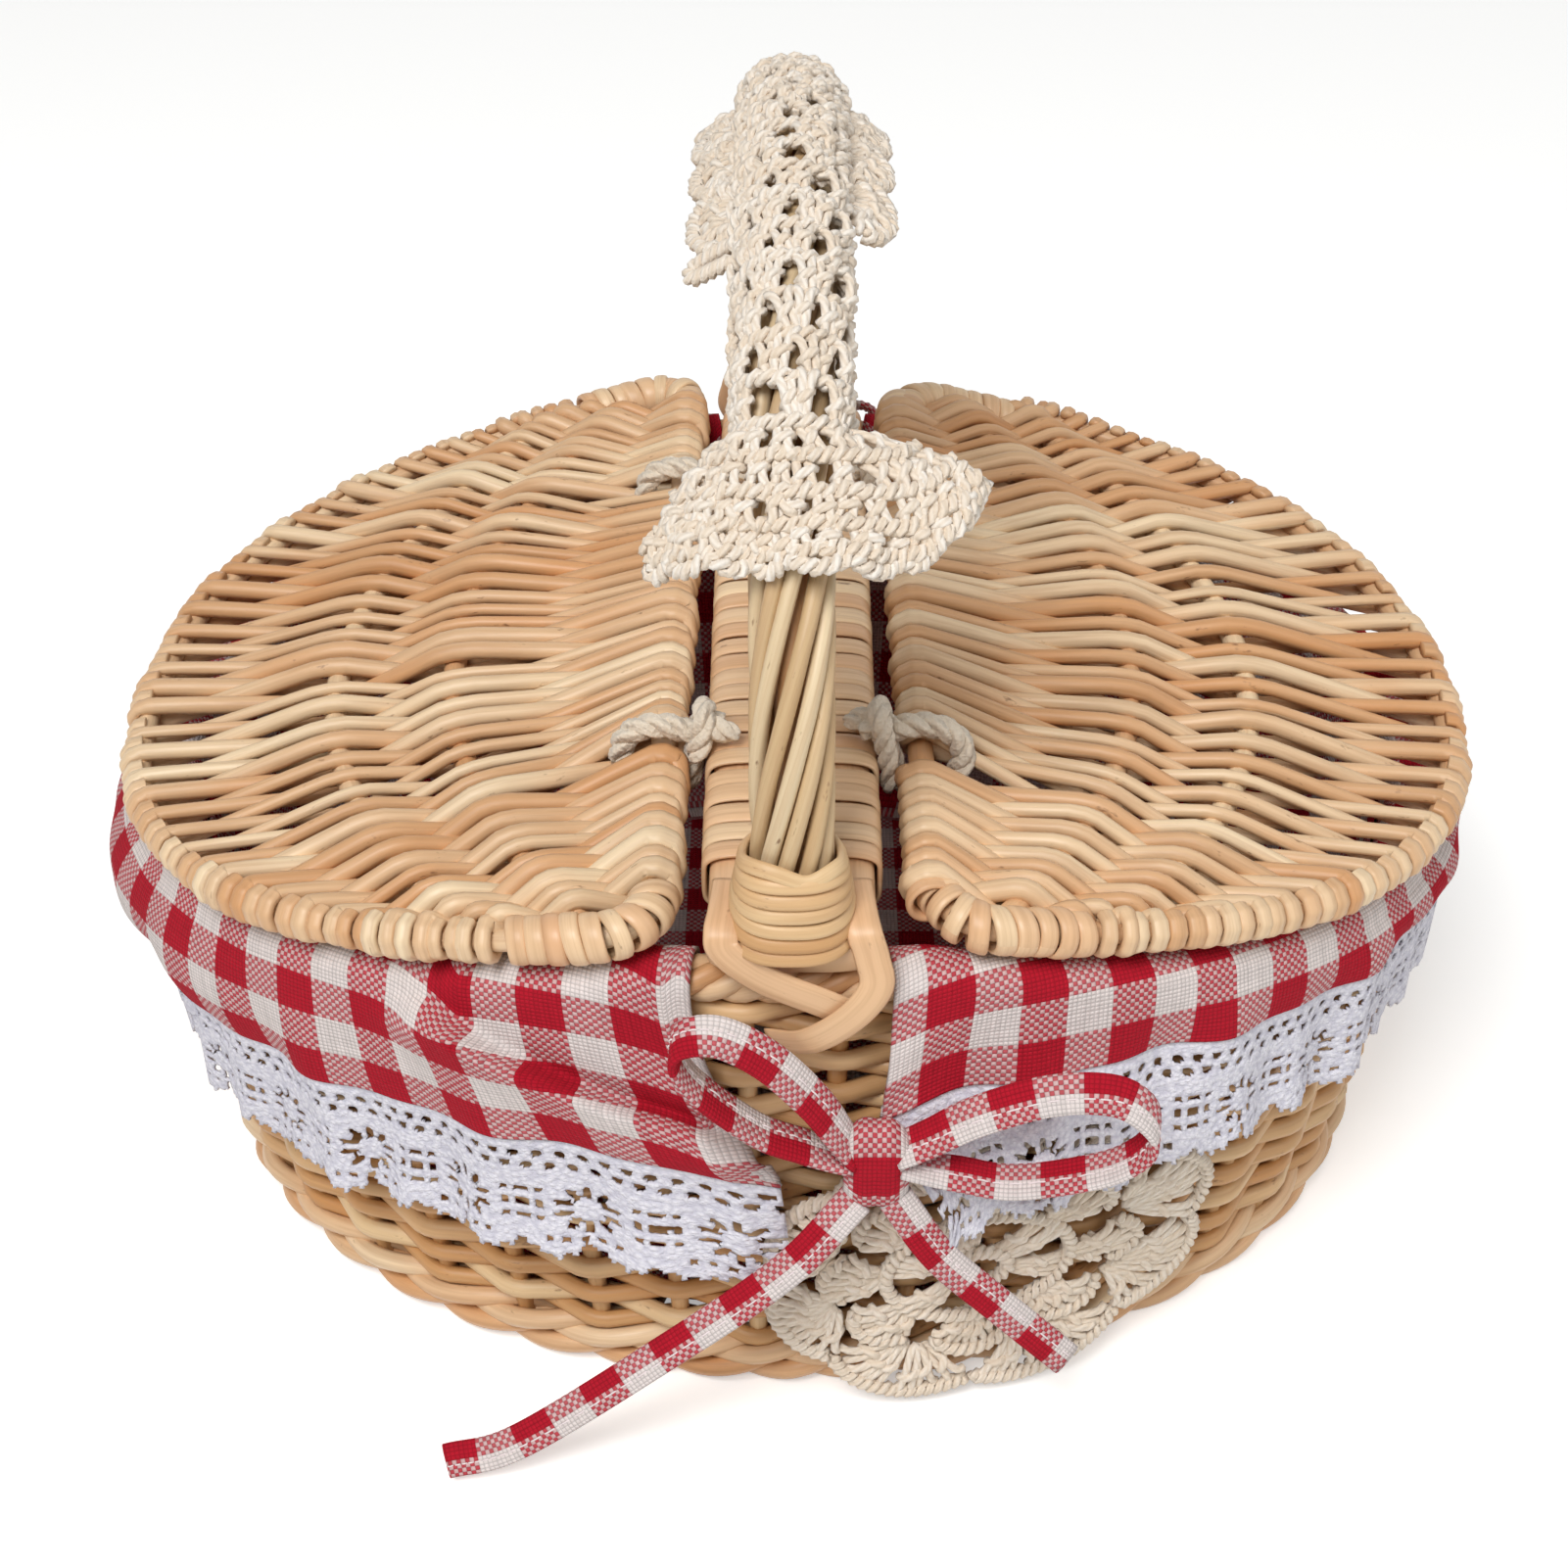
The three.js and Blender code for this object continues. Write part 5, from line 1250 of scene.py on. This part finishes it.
def crochet_look():
    """Crochet cotton: matt ecru yarn of three plies, with shaded grooves between them and a fine fuzz."""
    look, shader = new_look("plied_cotton_yarn")
    ply, _, height = twist(look, PLY_LAY, np.pi * YARN_D / PLIES, 0.8, 0.3)
    tone = add_node(look, "Attribute", output="Fac", attribute_name="tone")
    yarn = add_node(look, "MixRGB", {"Fac": tone, "Color1": tint("#F0E8DD"), "Color2": tint("#E6D6C2")})
    groove = add_node(look, "MapRange", {
        "Value": ply, "From Min": -1.0, "From Max": 0.1, "To Min": 0.45, "To Max": 0.0})
    colour = add_node(look, "MixRGB", {"Fac": groove, "Color1": yarn, "Color2": tint("#D3BFA6")})
    bump = add_node(look, "Bump", {"Height": height, "Strength": 0.7, "Distance": 0.45 * MM})
    feed(shader, {"Base Color": colour, "Normal": bump, "Roughness": 0.95, "Sheen Weight": 0.2,
                  "Specular IOR Level": 0.2})
    return look


def crochet_posts(base, top, normal, wide):
    """Crochet posts between two rows of points: each is a loop of yarn whose two legs run from the top
    down through the stitch below, with one turn of yarn across them."""
    base = base + rng.normal(0, 0.4, base.shape)
    rise = top + rng.normal(0, 0.6, top.shape) - base
    across = unit(np.cross(rise, normal)) * (wide * rng.uniform(0.76, 1.2, len(base)))[:, None]
    strands = []
    for shape in (LEGS, WRAP):
        c, h, lift = shape.T[:, None, :, None]
        path = base[:, None] + c * across[:, None] + h * rise[:, None] + YARN_D * lift * normal[:, None]
        strands.append(sweep(through(path, 2), normal[:, None], ring(YARN_D, YARN_D, 6)))
    return gather(strands)


def crochet_chain(line, normal, pitch, closed=False):
    """A row of chain stitches along a line: two strands of yarn that swing side to side and over one
    another once a stitch."""
    if closed:
        line, normal = (np.concatenate([part, part[:1]]) for part in (line, normal))
    walked = walked_along(line)
    links = max(1, round(walked[-1] / pitch))
    total = links * 6 + (0 if closed else 1)
    at = np.arange(total) / (links * 6) * walked[-1]
    place, out = between(at, walked, line), unit(between(at, walked, normal))
    along = np.roll(place, -1, 0) - np.roll(place, 1, 0) if closed else np.gradient(place, axis=0)
    across = np.cross(out, unit(along))
    strands = []
    for phase in (0, np.pi):
        swing = 2 * np.pi * np.arange(total)[:, None] / 6 + phase
        strands.append(place + YARN_D * (0.55 * np.sin(swing) * across + (0.75 + 0.45 * np.cos(swing)) * out))
    return sweep(np.stack(strands), np.stack([out, out]), ring(YARN_D, YARN_D, 6), closed=closed)


def on_doily(far, turn):
    """A point of the motif and its normal: far runs from 0 at the middle to 50 at the edge. The motif lies
    on the wall, and its lower edge stands off a little."""
    far, turn = np.broadcast_arrays(far, turn)
    tall = np.where(np.sin(turn) > 0, DOILY_HALF[1], DOILY_HALF[2])
    x = DOILY_AT[0] + far / DOILY_FAR * DOILY_HALF[0] * np.cos(turn)
    z = DOILY_AT[1] + far / DOILY_FAR * tall * np.sin(turn)
    wall_turn = -np.arccos(np.sign(x) * np.abs(x / RIM_HALF[0]) ** (RIM_POWER / 2))
    out = DOILY_LIFT + DOILY_FLARE * np.maximum(0, (DOILY_AT[1] - z) / DOILY_HALF[2]) ** 2
    point = body_point(wall_turn, out, z)
    return point, unit(body_point(wall_turn, out + 1, z) - point)


yarn_cotton = crochet_look()
work = []
for far in DOILY_RINGS:
    line, normal = on_doily(far, all_round(120))
    work.append(crochet_chain(line, normal, 4.6, closed=True))
post = np.arange(DOILY_POSTS)
turn = 2 * np.pi * (post + 0.25 * np.where(post % 2, 1, -1)) / DOILY_POSTS
base, normal = on_doily(DOILY_RINGS[0] + 0.5, turn)
top, _ = on_doily(DOILY_RINGS[1] - 0.5, turn)
work.append(crochet_posts(base, top, normal, 3.8))
fan_half = np.pi / DOILY_FANS
for first, last, count, spread, shift in DOILY_ROUNDS:
    for fan in range(DOILY_FANS):
        middle = 2 * np.pi * (fan + shift) / DOILY_FANS
        part = np.linspace(-1, 1, count)
        base, normal = on_doily(first, middle + 0.3 * spread * part * fan_half)
        top, _ = on_doily(last - FAN_ROUND * part ** 2, middle + spread * part * fan_half)
        work.append(crochet_posts(base, top, normal, 4.6))
        arc = np.linspace(-1, 1, 24)
        line, normal = on_doily(last + 0.6 - FAN_ROUND * arc ** 2, middle + (spread + 0.12) * arc * fan_half)
        work.append(crochet_chain(line, normal, 4.4))
points, quads, corners, tones = gather(work)
# The motif's yarn leans to the warmer, darker yarn colour: painted shade and a painted reflection of the
# willow behind it
motif = points, quads, corners, 0.5 + 0.5 * tones
add_piece("crochet_flower_motif", motif, yarn_cotton, replaces=["crochet_doily"])


# Crochet cover on the handle: a tube of the same yarn worked in open rounds of V stitches, so the rods
# show through. Each end widens into a ruffled skirt, and fans stand out along both sides.
COVER_START = 0.262
COVER_R = 9.9
COVER_ROUNDS = 20
COVER_VEES = 7
SKIRT_LENGTH = 24
SKIRT_HALF = {"front": (28, 37), "rear": (22, 22)}
SKIRT_RAISED = {"front": 17, "rear": 0}
SKIRT_WRAP = (1.75, 1.0)
SKIRT_DROOP = 0.35
SKIRT_RUFFLE = 1.8
SKIRT_ROWS = ((0.0, 0.27, 10, 5.0), (0.27, 0.55, 12, 5.2), (0.55, 0.8, 15, 5.4), (0.8, 1.0, 18, 5.2))
FAN_PLACES = {"left": (-24, -2, 20, 43), "right": (-20, 2, 24, 46)}
FAN_REACH = 8.6
FAN_HALF = 11.5
FLAP_ROOT = 1.5
FLAP_SLANT = (0.82, 0.57)
LOOP_PLACE = -40
LOOP_REACH = 11


def on_cover(share, turn):
    """A point of the tube at a share of the arch, and the way out from the handle."""
    share, turn = np.broadcast_arrays(share, turn)
    point, _ = arch(share, COVER_R * np.sin(turn), COVER_R * np.cos(turn))
    middle, _ = arch(share)
    return point, unit(point - middle)


work = []
levels = np.linspace(COVER_START, 1 - COVER_START, COVER_ROUNDS + 1)
for level in range(COVER_ROUNDS):
    vee = 2 * np.pi * (np.arange(COVER_VEES) + 0.5 * (level % 2)) / COVER_VEES
    vee = vee + rng.normal(0, 0.09, COVER_VEES)
    for lean in (-1, 1):
        base, normal = on_cover(levels[level], vee + lean * 0.07)
        top, _ = on_cover(levels[level + 1], vee + lean * 0.24)
        work.append(crochet_posts(base, top, normal, 4.4))
    line, normal = on_cover(levels[level + 1], all_round(28))
    work.append(crochet_chain(line + rng.normal(0, 0.4, line.shape), normal, 5.2, closed=True))
line, normal = on_cover(levels[0], all_round(56))
work.append(crochet_chain(line, normal, 4.7, closed=True))
add_piece("crochet_tube", gather(work), yarn_cotton, replaces=["crochet_sleeve"])


def on_skirt(part, down, end):
    """A point of a skirt and its normal: part runs from -1 at the left edge to 1 at the right one, and
    down from 0 at the tube to 1 at the hem, which droops at its edges and is ruffled."""
    part, down = np.broadcast_arrays(np.asarray(part, float), np.asarray(down, float))

    def at(part, down):
        raised = SKIRT_RAISED[end] * np.clip((part - 0.25) / 0.75, 0, 1) ** 3 * down
        share = COVER_START - (SKIRT_LENGTH * down - raised) / arch_length
        turn = part * (SKIRT_WRAP[0] + (SKIRT_WRAP[1] - SKIRT_WRAP[0]) * down)
        half = np.where(part < 0, *SKIRT_HALF[end])
        root_x, root_up = COVER_R * np.sin(turn), COVER_R * np.cos(turn)
        hem_x = half * np.sin(turn) / np.sin(SKIRT_WRAP[1])
        hem_up = COVER_R + 1.0 + SKIRT_RUFFLE * np.sin(9 * part) * down ** 2 - SKIRT_DROOP * half * part ** 2
        right = root_x + (hem_x - root_x) * np.maximum(down, 0) ** np.where(part < 0, 1.0, 0.7)
        outward = root_up + (hem_up - root_up) * down
        point, _ = arch(share if end == "front" else 1 - share, right, outward)
        return point

    step = 0.01
    rightward = at(part + step, down) - at(part - step, down)
    downward = at(part, down + step) - at(part, down - step)
    return at(part, down), unit(np.cross(rightward, downward)) * (-1 if end == "front" else 1)


def halves(shape):
    """A shape's strands split into those left and right of the handle's middle plane."""
    points, quads, corners, tones = shape
    right = points[quads].mean(axis=1)[:, 0] > 0
    for chosen in (~right, right):
        used, renumbered = np.unique(quads[chosen], return_inverse=True)
        yield points[used], renumbered.reshape(-1, 4), corners[chosen], tones[used]


for end in ("front", "rear"):
    work = []
    for first, last, count, wide in SKIRT_ROWS:
        part = (np.arange(count) + 0.5) / count * 2 - 1
        base, normal = on_skirt(part + rng.normal(0, 0.015, count), first, end)
        top, _ = on_skirt(part + rng.normal(0, 0.03, count), last, end)
        work.append(crochet_posts(base, top, normal, wide))
        line, normal = on_skirt(np.linspace(-0.98, 0.98, 40), last, end)
        work.append(crochet_chain(line + rng.normal(0, 0.35, line.shape), normal, 4.8))
    scallops = 0.09 * np.abs(np.sin(np.linspace(0, 8 * np.pi, 140)))
    line, normal = on_skirt(np.linspace(-1, 1, 140), 1.04 + scallops, end)
    work.append(crochet_chain(line, normal, 4.4))
    for hand, shape in zip(("left", "right"), halves(gather(work))):
        piece = add_piece(f"crochet_ruffle_{end}_{hand}", shape, yarn_cotton,
                          replaces=[f"crochet_skirt_{end}"])
        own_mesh(piece)


def on_flap(side, along, out):
    """A point of a side flap and its normal: so far along the arch from its top and so far out."""
    along, out = np.broadcast_arrays(np.asarray(along, float), np.asarray(out, float))
    share = 0.5 + along / arch_length
    aside, fall = COVER_R + FLAP_ROOT + FLAP_SLANT[0] * out, -FLAP_ROOT - FLAP_SLANT[1] * out
    point, _ = arch(share, side * aside, fall)
    further, _ = arch(share, side * (aside + FLAP_SLANT[1]), fall + FLAP_SLANT[0])
    return point, unit(further - point)


for hand, side in HANDS:
    work = []
    for place in FAN_PLACES[hand]:
        part = np.linspace(-1, 1, 6)
        base, normal = on_flap(side, place + 4.5 * part, 0.5)
        top, _ = on_flap(side, place + FAN_HALF * np.sin(part * 1.35), FAN_REACH * np.cos(part * 1.25) + 0.5)
        work.append(crochet_posts(base, top, normal, 4.2))
        arc = np.linspace(-1, 1, 30)
        line, normal = on_flap(side, place + (FAN_HALF + 0.8) * np.sin(arc * 1.4),
                               (FAN_REACH + 1.0) * np.cos(arc * 1.3) + 0.5 + 0.8 * np.abs(np.sin(arc * 7)))
        work.append(crochet_chain(line, normal, 4.2))
    if side < 0:
        part = np.linspace(-1, 1, 24)
        line, normal = on_flap(side, LOOP_PLACE + 2.6 * np.sin(part * 1.5), LOOP_REACH * (1 - part ** 4))
        work.append(crochet_chain(line, normal, 4.2))
    piece = add_piece(f"crochet_fans_{hand}", gather(work), yarn_cotton,
                      replaces=[f"crochet_flap_{hand}"])
    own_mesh(piece)


# Floor and light: a plain pale floor, painted matt, under a big soft lamp in front and a weaker one at
# the right, with an even white sky round it. The camera sees floor and sky nearly white.
FLOOR_HALF = 4
FLOOR_GLOW = 0.38
SKY_SEEN, SKY_LIGHT = 1.0, 0.26
LAMPS = (("key", (-0.5, -1.2, 1.8), 0.9, 35), ("fill", (1.5, -0.6, 1.2), 1.4, 8))
LAMPS_AIM = np.array([0, 0, 0.12])


def straight_or_lit(look, straight, lit):
    """One value where the camera looks, straight or in a gloss, and another where only light falls."""
    straight_ray, glossy, through_ray = (
        add_node(look, "LightPath", output=f"Is {ray} Ray") for ray in ("Camera", "Glossy", "Transmission"))
    shiny = add_node(look, "Math", {0: glossy, 1: through_ray}, operation="MAXIMUM")
    seen = add_node(look, "Math", {0: straight_ray, 1: shiny}, operation="MAXIMUM")
    return add_node(look, "MapRange", {"Value": seen, "To Min": lit, "To Max": straight})


mesh = bpy.data.meshes.new("floor")
mesh.from_pydata([(x * FLOOR_HALF, y * FLOOR_HALF, 0) for x, y in ((-1, -1), (1, -1), (1, 1), (-1, 1))],
                 [], [(0, 1, 2, 3)])
floor = bpy.data.objects.new("floor", mesh)
bpy.context.scene.collection.objects.link(floor)
paint, shader = new_look("pale_floor")
feed(shader, {"Base Color": tint("#F6F6F4"), "Roughness": 0.9, "Emission Color": (1, 1, 1, 1),
              "Emission Strength": straight_or_lit(paint, FLOOR_GLOW, 0.0)})
mesh.materials.append(paint)

for name, at, size, power in LAMPS:
    lamp = bpy.data.lights.new(name, "AREA")
    lamp.size, lamp.energy = size, power
    lit = bpy.data.objects.new(name, lamp)
    lit.location = at
    lit.rotation_mode = "QUATERNION"
    lit.rotation_quaternion = mathutils.Vector(LAMPS_AIM - at).to_track_quat("-Z", "Y")
    bpy.context.scene.collection.objects.link(lit)

sky = bpy.data.worlds.new("studio")
sky.use_nodes = True
feed(sky.node_tree.nodes["Background"],
     {"Color": (1, 1, 1, 1), "Strength": straight_or_lit(sky, SKY_SEEN, SKY_LIGHT)})
bpy.context.scene.world = sky
bpy.context.scene.view_settings.view_transform = "Standard"
